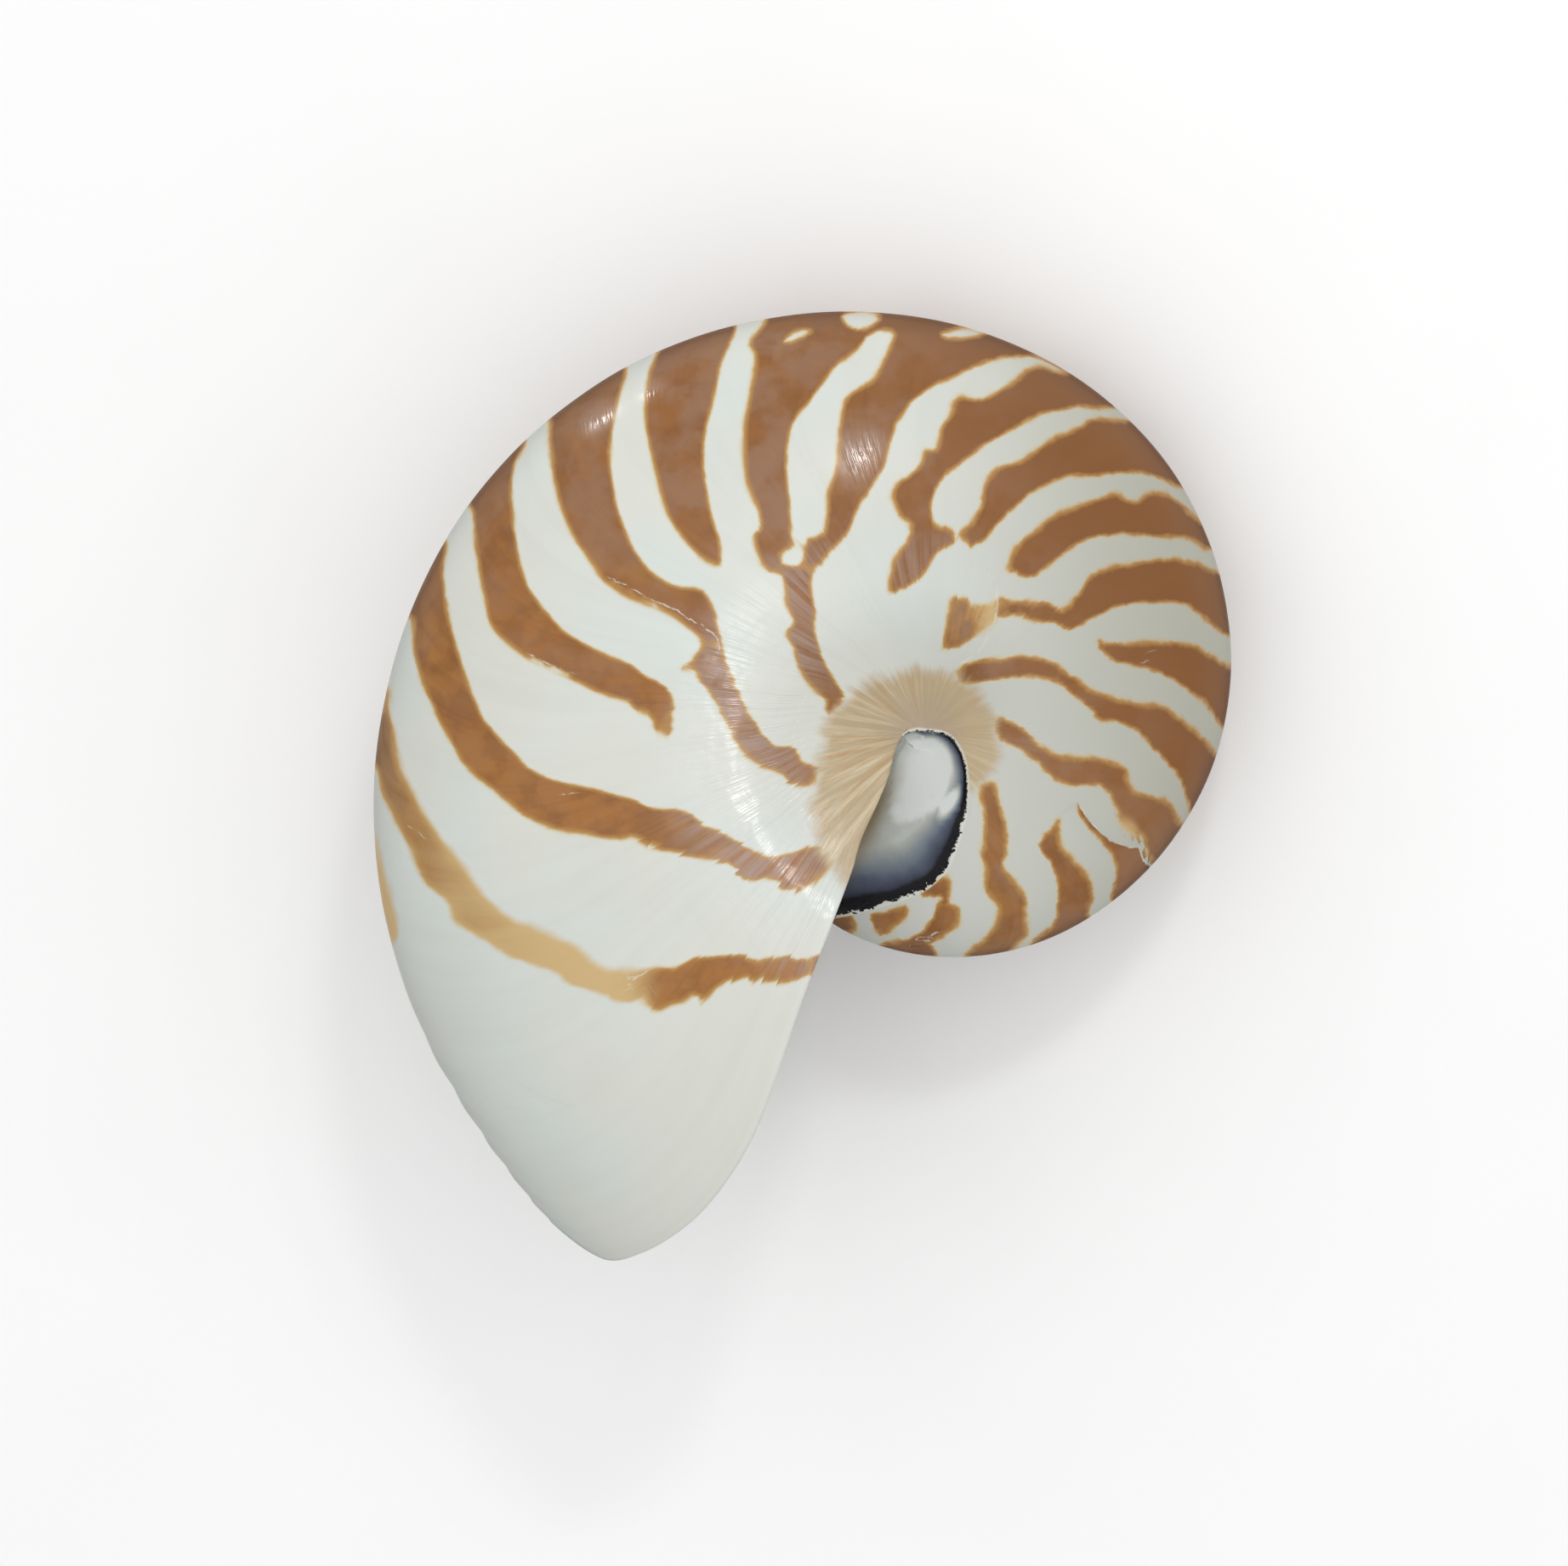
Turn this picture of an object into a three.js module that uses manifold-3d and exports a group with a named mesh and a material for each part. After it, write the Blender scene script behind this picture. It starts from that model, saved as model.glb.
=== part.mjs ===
// A chambered nautilus shell, lying on one flank. Millimetres and degrees, +Z up, resting on z = 0.
//
// The shell is one piece: a tube coiled in one plane, whose last turn hides all the earlier ones. It is built
// in the coil's own frame, with the coiling axis along Z, and is then laid down on its flank. A point of the
// coil has a radius from the axis, a half width, which is its height above the plane of symmetry, and a growth
// angle, which rises by 360 with each turn towards the mouth.
import * as THREE from "three";
import { mergeVertices } from "three/addons/utils/BufferGeometryUtils.js";
import Module from "manifold-3d";

// The coil
const SPIRAL_RADIUS = 51.16; // the keel's radius where the growth angle is 0
const SPIRAL_RATE = 0.1783; // growth of the radius per radian, which makes 3.07 times a turn
const SWELLINGS = [
  [-110, 1.02],
  [-80, 1],
  [-40, 0.982],
  [0, 0.995],
  [50, 1.009],
  [100, 0.994],
  [150, 1.007],
  [180, 1.002],
  [205, 0.99],
  [225, 0.976],
  [235, 0.978],
  [250, 0.968],
]; // growth angle, and the keel's radius there as a share of the even spiral's
const HALF_WIDTH_SHARE = 0.368; // half of the whorl's width at its shoulder, as a share of the keel's radius
const SHOULDER_SHARE = 0.36; // where the whorl is widest, as a share of the keel's radius
const FLANK_POWER = 2.35; // 2 makes the flank elliptical, and more makes it fuller
const UMBILICUS_HALF_WIDTH = 12.5; // half width at the axis, where callus fills the umbilicus
const UMBILICUS_POWER = 1.5; // steepness of the slope from the umbilicus up to the shoulder

// The mouth
const SHOULDER_ALONG = 0.66; // the way along a section is 0 at the keel, this at the shoulder, 1 at the axis
const LIP = [
  [0, 233],
  [0.04, 234],
  [0.08, 237.4],
  [0.115, 239.5],
  [0.208, 242],
  [0.274, 243.8],
  [0.356, 245.8],
  [0.463, 247.4],
  [0.543, 247.1],
  [0.64, 245.6],
  [0.763, 243.7],
  [0.807, 241.4],
  [0.883, 238.9],
  [0.922, 233],
  [0.969, 211],
  [1, 200],
]; // way along, and the growth angle of the lip there: long flanks, and a bay where the funnel leaves
const LIP_BLEND = 0.15; // share of the turn in which the rows take up the lip's shape
const WALL = 1.8;
const LIP_WALL = 1.1; // the wall thins towards the lip
const WALL_TAPER = 20; // degrees from the lip to the full wall
const CHAMBER_ARC = 136; // how far the living chamber runs back from the lip
const SEPTUM_DISH = 20; // how much further back the middle of the last septum lies
const SIPHUNCLE_RADIUS = 1.8;
const SIPHUNCLE_DEPTH = 7;

// The pose in which it lies, on the shoulder of its far flank
const REST_TILT = 14; // between the plane of symmetry and the surface
const REST_TOWARDS = 41; // the direction in that plane in which the coil dips
const REST_WEAR = 0.25; // depth by which the flank is flat where it touches

// Fineness of the mesh
const TURN = 360;
const TURN_STEPS = 72; // rows around the last turn
const CHAMBER_STEPS = 17; // rows along the living chamber
const WALL_COLUMNS = 13; // columns from the keel to where the chamber's wall meets the turn before
const COLUMNS = 17; // columns from the keel to the axis
const KEEL_CROWDING = 1.25; // above 1, columns are closer together at the keel, where the lip's bay is
const SEPTUM_RINGS = 4;
const SIPHUNCLE_SIDES = 10;
const SEAM_ROUNDS = 40; // halvings in the search for the seam
const NUDGE = 1e-3; // a small step along a section, for its direction
const SAME_POINT = 1e-4; // points closer than this are one

const { degToRad, lerp, smoothstep } = THREE.MathUtils;

// A smooth curve through [x, y] points, level beyond both ends.
function through(points, x) {
  const last = points.length - 1;
  if (x <= points[0][0]) return points[0][1];
  if (x >= points[last][0]) return points[last][1];
  let i = 0;
  while (x > points[i + 1][0]) i += 1;
  const slope = (a, b) => (points[b][1] - points[a][1]) / (points[b][0] - points[a][0]);
  const start = slope(Math.max(i - 1, 0), i + 1);
  const end = slope(i, Math.min(i + 2, last));
  const width = points[i + 1][0] - points[i][0];
  const t = (x - points[i][0]) / width;
  const bend = width * t * (1 - t) * (start * (1 - t) - end * t);
  return lerp(points[i][1], points[i + 1][1], t * t * (3 - 2 * t)) + bend;
}

const keelRadius = (growth) =>
  SPIRAL_RADIUS * Math.exp(SPIRAL_RATE * degToRad(growth)) * through(SWELLINGS, growth);

// The outer surface at a way along its section, as a radius (x) and a half width (y).
function sectionPoint(along, growth) {
  const keel = keelRadius(growth);
  const shoulder = SHOULDER_SHARE * keel;
  const widest = HALF_WIDTH_SHARE * keel;
  if (along > SHOULDER_ALONG) {
    const out = Math.max(0, (1 - along) / (1 - SHOULDER_ALONG));
    const rise = Math.sin((Math.PI / 2) * out) ** UMBILICUS_POWER;
    return new THREE.Vector2(shoulder * out, lerp(UMBILICUS_HALF_WIDTH, widest, rise));
  }
  const turned = (Math.PI / 2) * (along / SHOULDER_ALONG);
  const out = Math.cos(turned) ** (2 / FLANK_POWER);
  return new THREE.Vector2(lerp(shoulder, keel, out), widest * Math.sin(turned) ** (2 / FLANK_POWER));
}

// The way along at which a section has a radius.
function alongAt(radius, growth) {
  const keel = keelRadius(growth);
  const shoulder = SHOULDER_SHARE * keel;
  if (radius < shoulder) return 1 - (1 - SHOULDER_ALONG) * (radius / shoulder);
  const out = Math.min(1, (radius - shoulder) / (keel - shoulder));
  return SHOULDER_ALONG * (Math.acos(out ** (FLANK_POWER / 2)) / (Math.PI / 2));
}

// The wall's thickness, some degrees back from the lip.
const wallAt = (back) => lerp(LIP_WALL, WALL, smoothstep(back, 0, WALL_TAPER));

// The outer surface taken in by the wall's thickness.
function innerPoint(along, growth, wall) {
  const point = sectionPoint(along, growth);
  if (along < NUDGE) return new THREE.Vector2(point.x - wall, 0);
  const tangent = sectionPoint(along + NUDGE, growth)
    .sub(sectionPoint(along - NUDGE, growth))
    .normalize();
  return new THREE.Vector2(point.x - wall * tangent.y, Math.max(0, point.y + wall * tangent.x));
}

// Points of the coil: on the last turn, on the inside of its wall, and on the turn before at a radius.
const at = (point, angle) => ({ radius: point.x, half: point.y, angle });
const onTurn = (along, angle) => at(sectionPoint(along, angle), angle);
const onWall = (along, angle, back) => at(innerPoint(along, angle, wallAt(back)), angle);
const onTurnBefore = (along, angle) => at(sectionPoint(along, angle - TURN), angle);

// Where the chamber's wall meets the turn before, some degrees back from the lip.
function seamAt(back) {
  let near = SHOULDER_ALONG;
  let far = 1;
  const angleAt = (along) => through(LIP, along) - back;
  for (let round = 0; round < SEAM_ROUNDS; round += 1) {
    const along = (near + far) / 2;
    const wall = onWall(along, angleAt(along), back);
    const before = onTurnBefore(alongAt(wall.radius, wall.angle - TURN), wall.angle);
    if (wall.half > before.half) near = along;
    else far = along;
  }
  const { radius, angle } = onWall(near, angleAt(near), back);
  return { along: near, angle, before: alongAt(radius, angle - TURN) };
}

// How far a column lies from the keel, as a share of the way to the seam.
const columnShare = (column) => (column / WALL_COLUMNS) ** KEEL_CROWDING;

// The points and faces of one closed surface.
class Surface {
  constructor() {
    this.positions = [];
    this.faces = [];
  }

  add({ radius, half, angle }, side) {
    const turned = degToRad(angle);
    this.positions.push(radius * Math.cos(turned), radius * Math.sin(turned), side * half);
    return this.positions.length / 3 - 1;
  }

  // A row across the shell, from a column on the far side over the keel to the same one on the near side.
  row(lastColumn, make) {
    const row = [];
    for (let column = -lastColumn; column <= lastColumn; column += 1) {
      row.push(this.add(make(Math.abs(column)), Math.sign(column)));
    }
    return row;
  }

  // Two rows with as many points, joined by triangles.
  strip(first, second) {
    for (let i = 0; i + 1 < first.length; i += 1) {
      this.face(first[i], second[i], second[i + 1]);
      this.face(first[i], second[i + 1], first[i + 1]);
    }
  }

  face(a, b, c) {
    if (a !== b && b !== c && a !== c) this.faces.push(a, b, c);
  }

  polar(index) {
    const [x, y, z] = this.positions.slice(3 * index, 3 * index + 3);
    return { radius: Math.hypot(x, y), z };
  }

  geometry() {
    return new THREE.BufferGeometry()
      .setAttribute("position", new THREE.Float32BufferAttribute(this.positions, 3))
      .setIndex(this.faces);
  }
}

// The outside, from the turn before, under the lip, once around to the lip. Its rows bend as the lip does.
function addOutside(surface, seam) {
  const axis = { radius: 0, half: UMBILICUS_HALF_WIDTH, angle: 0 };
  const poles = [surface.add(axis, -1), surface.add(axis, 1)];
  const columns = Array.from({ length: COLUMNS }, (_, column) => {
    const beyond = (column - WALL_COLUMNS) / (COLUMNS - WALL_COLUMNS);
    const along = beyond > 0 ? lerp(seam.along, 1, beyond) : seam.along * columnShare(column);
    const angle = through(LIP, along);
    if (beyond <= 0) {
      return { along, angle, before: seam.before * columnShare(column), angleBefore: seam.angle };
    }
    const { radius } = onTurn(along, angle);
    return { along, angle, before: alongAt(radius, angle - TURN), angleBefore: angle };
  });
  const rows = [];
  for (let i = 0; i <= TURN_STEPS; i += 1) {
    const done = i / TURN_STEPS;
    const row = surface.row(COLUMNS - 1, (column) => {
      const { along, angle, before, angleBefore } = columns[column];
      const bent = lerp(angleBefore, angle, smoothstep(done, 0, LIP_BLEND));
      return onTurn(lerp(before, along, done), bent - TURN * (1 - done));
    });
    rows.push([poles[0], ...row, poles[1]]);
    if (i > 0) surface.strip(rows[i - 1], rows[i]);
  }
  return rows;
}

// The living chamber's wall, and the turn before, which is its floor. They share the points where they meet.
function addChamber(surface, underLip) {
  const walls = [];
  const floors = [];
  for (let i = 0; i <= CHAMBER_STEPS; i += 1) {
    const back = (CHAMBER_ARC * i) / CHAMBER_STEPS;
    const seam = seamAt(back);
    const floor = (column) => onTurnBefore(seam.before * columnShare(column), seam.angle);
    const wall = (column) => {
      const along = seam.along * columnShare(column);
      return onWall(along, through(LIP, along) - back, back);
    };
    floors.push(i === 0 ? underLip : surface.row(WALL_COLUMNS, floor));
    walls.push([floors[i][0], ...surface.row(WALL_COLUMNS - 1, wall), floors[i][2 * WALL_COLUMNS]]);
    if (i > 0) {
      surface.strip(walls[i - 1], walls[i]);
      surface.strip(floors[i], floors[i - 1]);
    }
  }
  return { walls, floors };
}

// The last septum, a dish that closes the chamber. Returns where its middle is.
function addSeptum(surface, wall, floor) {
  const keelOf = (row) => surface.polar(row[WALL_COLUMNS]).radius;
  const middle = (keelOf(wall) + keelOf(floor)) / 2;
  const angleAt = (radius, share) =>
    through(LIP, alongAt(radius, LIP[0][1])) - CHAMBER_ARC - SEPTUM_DISH * (1 - share * share);
  const loop = [...wall, ...floor.slice(1, -1).reverse()];
  let ring = loop;
  for (let i = 1; i < SEPTUM_RINGS; i += 1) {
    const share = 1 - i / SEPTUM_RINGS;
    const next = loop.map((index) => {
      const { radius, z } = surface.polar(index);
      const nearer = lerp(middle, radius, share);
      return surface.add({ radius: nearer, half: share * z, angle: angleAt(nearer, share) }, 1);
    });
    surface.strip([...ring, ring[0]], [...next, next[0]]);
    ring = next;
  }
  const centre = surface.add({ radius: middle, half: 0, angle: angleAt(middle, 0) }, 1);
  ring.forEach((index, i) => surface.face(index, centre, ring[(i + 1) % ring.length]));
  return { radius: middle, angle: degToRad(angleAt(middle, 0)) };
}

// A closed mesh as a solid that can be cut, and a solid as a mesh.
function solidOf(wasm, geometry) {
  const bare = geometry.clone();
  bare.deleteAttribute("normal");
  bare.deleteAttribute("uv");
  const { attributes, index } = mergeVertices(bare, SAME_POINT);
  return new wasm.Manifold(
    new wasm.Mesh({
      numProp: 3,
      vertProperties: attributes.position.array,
      triVerts: new Uint32Array(index.array),
    }),
  );
}

function geometryOf(solid) {
  const { vertProperties, triVerts } = solid.getMesh();
  return new THREE.BufferGeometry()
    .setAttribute("position", new THREE.Float32BufferAttribute(vertProperties, 3))
    .setIndex(Array.from(triVerts));
}

// The whole coil, in its own frame.
function buildCoil(wasm) {
  const surface = new Surface();
  const outside = addOutside(surface, seamAt(0));
  const bare = COLUMNS - WALL_COLUMNS;
  const underLip = outside[0].slice(bare, -bare);
  const { walls, floors } = addChamber(surface, underLip);
  const rim = [...outside[0].slice(0, bare), ...walls[0], ...outside[0].slice(-bare)];
  surface.strip(outside[TURN_STEPS], rim);
  const septum = addSeptum(surface, walls[CHAMBER_STEPS], floors[CHAMBER_STEPS]);
  const length = 2 * SIPHUNCLE_DEPTH;
  const hole = new THREE.CylinderGeometry(SIPHUNCLE_RADIUS, SIPHUNCLE_RADIUS, length, SIPHUNCLE_SIDES);
  hole.rotateZ(septum.angle);
  hole.translate(septum.radius * Math.cos(septum.angle), septum.radius * Math.sin(septum.angle), 0);
  return solidOf(wasm, surface.geometry()).subtract(solidOf(wasm, hole));
}

// The coil laid down on its far flank, with the origin on the surface, under the middle of its box. What would
// be under the surface is worn off.
function layDown(wasm, coil) {
  const tilt = degToRad(REST_TILT);
  const towards = degToRad(REST_TOWARDS);
  const dip = Math.sin(tilt);
  const down = new THREE.Vector3(dip * Math.cos(towards), dip * Math.sin(towards), -Math.cos(tilt));
  const turn = new THREE.Quaternion().setFromUnitVectors(down, new THREE.Vector3(0, 0, -1));
  const lying = geometryOf(coil).applyQuaternion(turn);
  lying.computeBoundingBox();
  const { min, max } = lying.boundingBox;
  lying.translate(-(min.x + max.x) / 2, -(min.y + max.y) / 2, -min.z - REST_WEAR);
  const wide = 2 * (max.y - min.y);
  const underneath = new THREE.BoxGeometry(wide, wide, 2 * REST_WEAR).translate(0, 0, -REST_WEAR);
  return solidOf(wasm, lying).subtract(solidOf(wasm, underneath));
}

const wasm = await Module();
wasm.setup();
const shell = new THREE.Mesh(
  geometryOf(layDown(wasm, buildCoil(wasm))),
  new THREE.MeshStandardMaterial({ color: 0xe3e3da, roughness: 0.35, metalness: 0 }),
);
shell.name = "shell";

const part = new THREE.Group();
part.add(shell);
export default part;
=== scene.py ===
"""A polished chambered nautilus shell, lying on one flank on a pale floor and seen from above."""

import bpy
import numpy as np
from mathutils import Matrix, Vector


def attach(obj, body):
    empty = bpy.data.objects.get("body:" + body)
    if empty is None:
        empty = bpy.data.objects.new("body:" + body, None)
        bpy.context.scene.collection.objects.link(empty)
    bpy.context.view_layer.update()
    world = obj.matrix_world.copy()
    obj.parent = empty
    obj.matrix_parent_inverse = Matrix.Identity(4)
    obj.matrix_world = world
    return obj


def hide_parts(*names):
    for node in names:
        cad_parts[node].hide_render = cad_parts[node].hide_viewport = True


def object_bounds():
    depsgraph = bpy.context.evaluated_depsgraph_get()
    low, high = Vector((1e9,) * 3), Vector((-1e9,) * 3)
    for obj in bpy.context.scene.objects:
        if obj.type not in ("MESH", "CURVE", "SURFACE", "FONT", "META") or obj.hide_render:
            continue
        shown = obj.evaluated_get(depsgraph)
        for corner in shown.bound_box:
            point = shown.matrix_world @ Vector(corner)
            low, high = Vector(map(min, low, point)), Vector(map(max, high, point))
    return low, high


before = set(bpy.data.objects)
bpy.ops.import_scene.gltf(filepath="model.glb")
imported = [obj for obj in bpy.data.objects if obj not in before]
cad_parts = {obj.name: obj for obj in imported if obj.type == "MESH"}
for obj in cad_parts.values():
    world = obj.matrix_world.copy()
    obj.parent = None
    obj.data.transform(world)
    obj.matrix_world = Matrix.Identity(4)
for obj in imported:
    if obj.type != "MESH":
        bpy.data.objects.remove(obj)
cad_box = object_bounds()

# The coil's own frame is in millimetres, with the coiling axis along Z. A point of the shell has a radius
# from that axis, a half width, which is its height above the plane of symmetry, and a growth angle in
# degrees.
MM = 0.001
TURN = 360

# The spiral: the keel's radius at growth angle 0, its rate of growth for each radian, and how it swells, as
# growth angles and shares of the even spiral's radius
SPIRAL_RADIUS = 51.16
SPIRAL_RATE = 0.1783
SWELLINGS = [
    (-110, 1.02), (-80, 1), (-40, 0.982), (0, 0.995), (50, 1.009), (100, 0.994),
    (150, 1.007), (180, 1.002), (205, 0.99), (225, 0.976), (235, 0.978), (250, 0.968),
]

# The section. The way along it runs from 0 at the keel, over the flank, to 1 at the axis. The shares are of
# the keel's radius, and the powers say how square the flank is and how hollow the umbilicus.
HALF_WIDTH_SHARE = 0.368
SHOULDER_SHARE = 0.36
SHOULDER_ALONG = 0.66
FLANK_POWER = 2.35
UMBILICUS_HALF_WIDTH = 12.5
UMBILICUS_POWER = 1.5

# The lip, as ways along the section and the growth angles that its edge has there
LIP = [
    (0, 233), (0.04, 234), (0.08, 237.4), (0.115, 239.5), (0.208, 242), (0.274, 243.8), (0.356, 245.8),
    (0.463, 247.4), (0.543, 247.1), (0.64, 245.6), (0.763, 243.7), (0.807, 241.4), (0.883, 238.9),
    (0.922, 233), (0.969, 211), (1, 200),
]
LIP_BLEND = 0.15  # share of the turn in which the rows take up the lip's shape
FLUSH_REACH = (3.5, 6)  # mm from the axis: inside the first the turn before is level with the lip
FLUSH_FADE = (0.02, 0.25)  # share of the turn in which that levelling fades
FLUSH_STEP = 0.15  # mm, and where the step is lower than this, the two share their points

# The living chamber: degrees from the lip to its septum, the depth of the septum's dish in degrees, and the
# siphuncle's tube in its middle
CHAMBER_ARC = 136
SEPTUM_DISH = 20
SIPHUNCLE_RADIUS = 1.8
SIPHUNCLE_DEPTH = 5

# The wall, which thins towards the lip
WALL = 1.8
LIP_WALL = 1.1
WALL_TAPER = 20  # degrees from the lip

# How it lies, as the solid does: its tilt, the angle around the axis towards which it tilts, and how far the
# flank is flattened
REST_TILT = 14
REST_TOWARDS = 41
REST_WEAR = 0.25
INSET = 0.15  # how far the fine surface stays inside the faceted one's corners

# Fineness of the mesh
ROWS = 380
NEAR_WALL, NEAR_BARE = 84, 42  # columns from the keel to the chamber's wall, and from there to the axis
FAR_WALL, FAR_BARE = 56, 14
KEEL_CROWDING = 1.12  # power that draws the columns towards the keel
LIP_CROWDING = 1.4  # power that draws the chamber's rows towards the lip
ROW_CROWDING = 1.9  # how many times closer together the rows are at the lip than a turn before
SEAM_HALVINGS = 40  # steps in the search for the seam, each of which halves the gap
CHAMBER_ROWS = 44
RIM_ROWS = 4
SEPTUM_RINGS = 10
SIPHUNCLE_RINGS = 3

# The photograph: where the coil's axis is, its middle, and its scale and distance
AXIS_PIXEL = (1081.4, 849.3)
MIDDLE_PIXEL = (922, 921)
PIXEL = 0.1413  # mm, on the plane of symmetry
PHOTO_WIDTH = 1844
CAMERA_DISTANCE = 1500
SENSOR = 36

FAR_AWAY = 50.0  # mm, where no outline is near
OUTLINE_MARGIN = 15  # mm around an outline in which distances to it are worked out
EARLY = 0.4  # share of the turn that counts as the turn before, where the lip's film lies
FAR_DRIFT = 11  # pixels, by which the far side's stripes stray from the near side's mirror image

# Heights of the relief, in mm, and the mm of growth for each radian of the keel's last growth steps
LEDGE_DROP = 1.1
SCAR_DROP = 0.12
SWELL_HEIGHT = 0.035
SCALLOP_DEPTH = 0.35
SCALLOP = 1.15


# Curves

def through(points, x):
    """A smooth curve through (x, y) points, level beyond both ends."""
    xs, ys = np.array(points, float).T
    x = np.clip(x, xs[0], xs[-1])
    i = np.clip(np.searchsorted(xs, x) - 1, 0, len(xs) - 2)
    before = np.maximum(i - 1, 0)
    after = np.minimum(i + 2, len(xs) - 1)
    start = (ys[i + 1] - ys[before]) / (xs[i + 1] - xs[before])
    end = (ys[after] - ys[i]) / (xs[after] - xs[i])
    width = xs[i + 1] - xs[i]
    t = (x - xs[i]) / width
    bend = width * t * (1 - t) * (start * (1 - t) - end * t)
    return ys[i] + (ys[i + 1] - ys[i]) * t * t * (3 - 2 * t) + bend


def lerp(a, b, t):
    return a + (b - a) * t


def smoothstep(x, low, high):
    t = np.clip((x - low) / (high - low), 0, 1)
    return t * t * (3 - 2 * t)


def keel_radius(growth):
    return SPIRAL_RADIUS * np.exp(SPIRAL_RATE * np.radians(growth)) * through(SWELLINGS, growth) - INSET


def section(along, growth):
    """Radius and half width of the outer surface. Along runs from 0 at the keel to 1 at the axis."""
    keel = keel_radius(growth)
    shoulder = SHOULDER_SHARE * keel
    widest = HALF_WIDTH_SHARE * keel - INSET
    inner = np.clip((1 - along) / (1 - SHOULDER_ALONG), 0, 1)
    slope = lerp(UMBILICUS_HALF_WIDTH, widest, np.sin(np.pi / 2 * inner) ** UMBILICUS_POWER)
    turned = np.pi / 2 * np.clip(along / SHOULDER_ALONG, 0, 1)
    flank = lerp(shoulder, keel, np.cos(turned) ** (2 / FLANK_POWER))
    rise = widest * np.sin(turned) ** (2 / FLANK_POWER)
    beyond = along > SHOULDER_ALONG
    return np.where(beyond, shoulder * inner, flank), np.where(beyond, slope, rise)


def along_at(radius, growth):
    """The way along at which a section has a radius."""
    keel = keel_radius(growth)
    shoulder = SHOULDER_SHARE * keel
    out = np.clip((radius - shoulder) / (keel - shoulder), 0, 1)
    flank = SHOULDER_ALONG * np.arccos(out ** (FLANK_POWER / 2)) / (np.pi / 2)
    return np.where(radius < shoulder, 1 - (1 - SHOULDER_ALONG) * radius / shoulder, flank)


def wall_at(back):
    """The wall's thickness, some degrees back from the lip."""
    return lerp(LIP_WALL, WALL, smoothstep(back, 0, WALL_TAPER))


def inner_section(along, growth, wall):
    """The outer surface taken in by the wall's thickness."""
    nudge = 1e-3
    radius, half = section(along, growth)
    ahead = section(along + nudge, growth)
    behind = section(np.abs(along - nudge), growth)
    run, rise = ahead[0] - behind[0], ahead[1] - behind[1]
    length = np.maximum(np.hypot(run, rise), 1e-12)
    keel = along < nudge
    taken_in = np.where(keel, radius - wall, radius - wall * rise / length)
    return taken_in, np.where(keel, 0, np.maximum(0, half + wall * run / length))


def seam_at(back):
    """Where the chamber's wall meets the turn before: way along, angle, and the turn before's way along."""
    wall = wall_at(back)
    near = np.full(np.shape(back), SHOULDER_ALONG)
    far = np.ones(np.shape(back))
    for _ in range(SEAM_HALVINGS):
        along = (near + far) / 2
        angle = through(LIP, along) - back
        radius, half = inner_section(along, angle, wall)
        before = section(along_at(radius, angle - TURN), angle - TURN)[1]
        near = np.where(half > before, along, near)
        far = np.where(half > before, far, along)
    angle = through(LIP, near) - back
    radius, _ = inner_section(near, angle, wall)
    return near, angle, along_at(radius, angle - TURN)


# The mesh

OUTSIDE, RIM, CHAMBER_WALL, FLOOR, SEPTUM = range(5)


def placed(radius, half, angle):
    turned = np.radians(angle)
    return np.stack(np.broadcast_arrays(radius * np.cos(turned), radius * np.sin(turned), half), -1)


def reach_of(places):
    """How far points are from the coiling axis."""
    return np.hypot(places[:, 0], places[:, 1])


class Surface:
    """Points with their traits, and faces.

    Each point has its region, its share of the turn, its degrees behind the lip and the age of its row.
    """

    def __init__(self):
        self.places = np.zeros((0, 3))
        self.traits = {name: np.zeros(0) for name in ("region", "done", "back", "age")}
        self.faces = []

    def add(self, places, **traits):
        """Adds an array of points, and returns their numbers in the same layout."""
        shape = places.shape[:-1]
        first = len(self.places)
        self.places = np.concatenate([self.places, places.reshape(-1, 3)])
        for name, values in self.traits.items():
            given = np.broadcast_to(traits.get(name, 0), shape).reshape(-1)
            self.traits[name] = np.concatenate([values, given])
        return first + np.arange(len(self.places) - first).reshape(shape)

    def grid(self, rows, closed=False):
        """Joins each row of points to the next one."""
        if closed:
            rows = np.concatenate([rows, rows[:, :1]], 1)
        corners = [rows[:-1, :-1], rows[1:, :-1], rows[1:, 1:], rows[:-1, 1:]]
        self.faces += np.stack(corners, -1).reshape(-1, 4).tolist()

    def fans(self, rows, poles):
        """Joins both ends of each row to the two points on the axis."""
        for now, then in zip(rows[:-1], rows[1:]):
            self.faces.append([poles[0], int(then[0]), int(now[0])])
            self.faces.append([int(now[-1]), int(then[-1]), poles[1]])


def column_shares(walls):
    return (np.arange(walls + 1) / walls) ** KEEL_CROWDING


def across(near, far):
    """A row's values from the far side over the keel to the near side, from both sides' columns."""
    return np.concatenate([far[..., :0:-1], near], -1)


def age_of(growth):
    """Length of the keel up to a growth angle, in mm, the same all along a growth line."""
    return keel_radius(growth) / SPIRAL_RATE


def outside_columns(seam, walls, bare):
    """Ways along and angles at both ends of each column, from the keel to next to the axis."""
    along, angle, before = seam
    shares = column_shares(walls)
    beyond = np.arange(1, bare) / bare
    outer = lerp(along, 1, beyond)
    outer_angle = through(LIP, outer)
    outer_before = along_at(section(outer, outer_angle)[0], outer_angle - TURN)
    return (
        np.concatenate([along * shares, outer]),
        np.concatenate([through(LIP, along * shares), outer_angle]),
        np.concatenate([before * shares, outer_before]),
        np.concatenate([np.full(walls + 1, angle), outer_angle]),
    )


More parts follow.
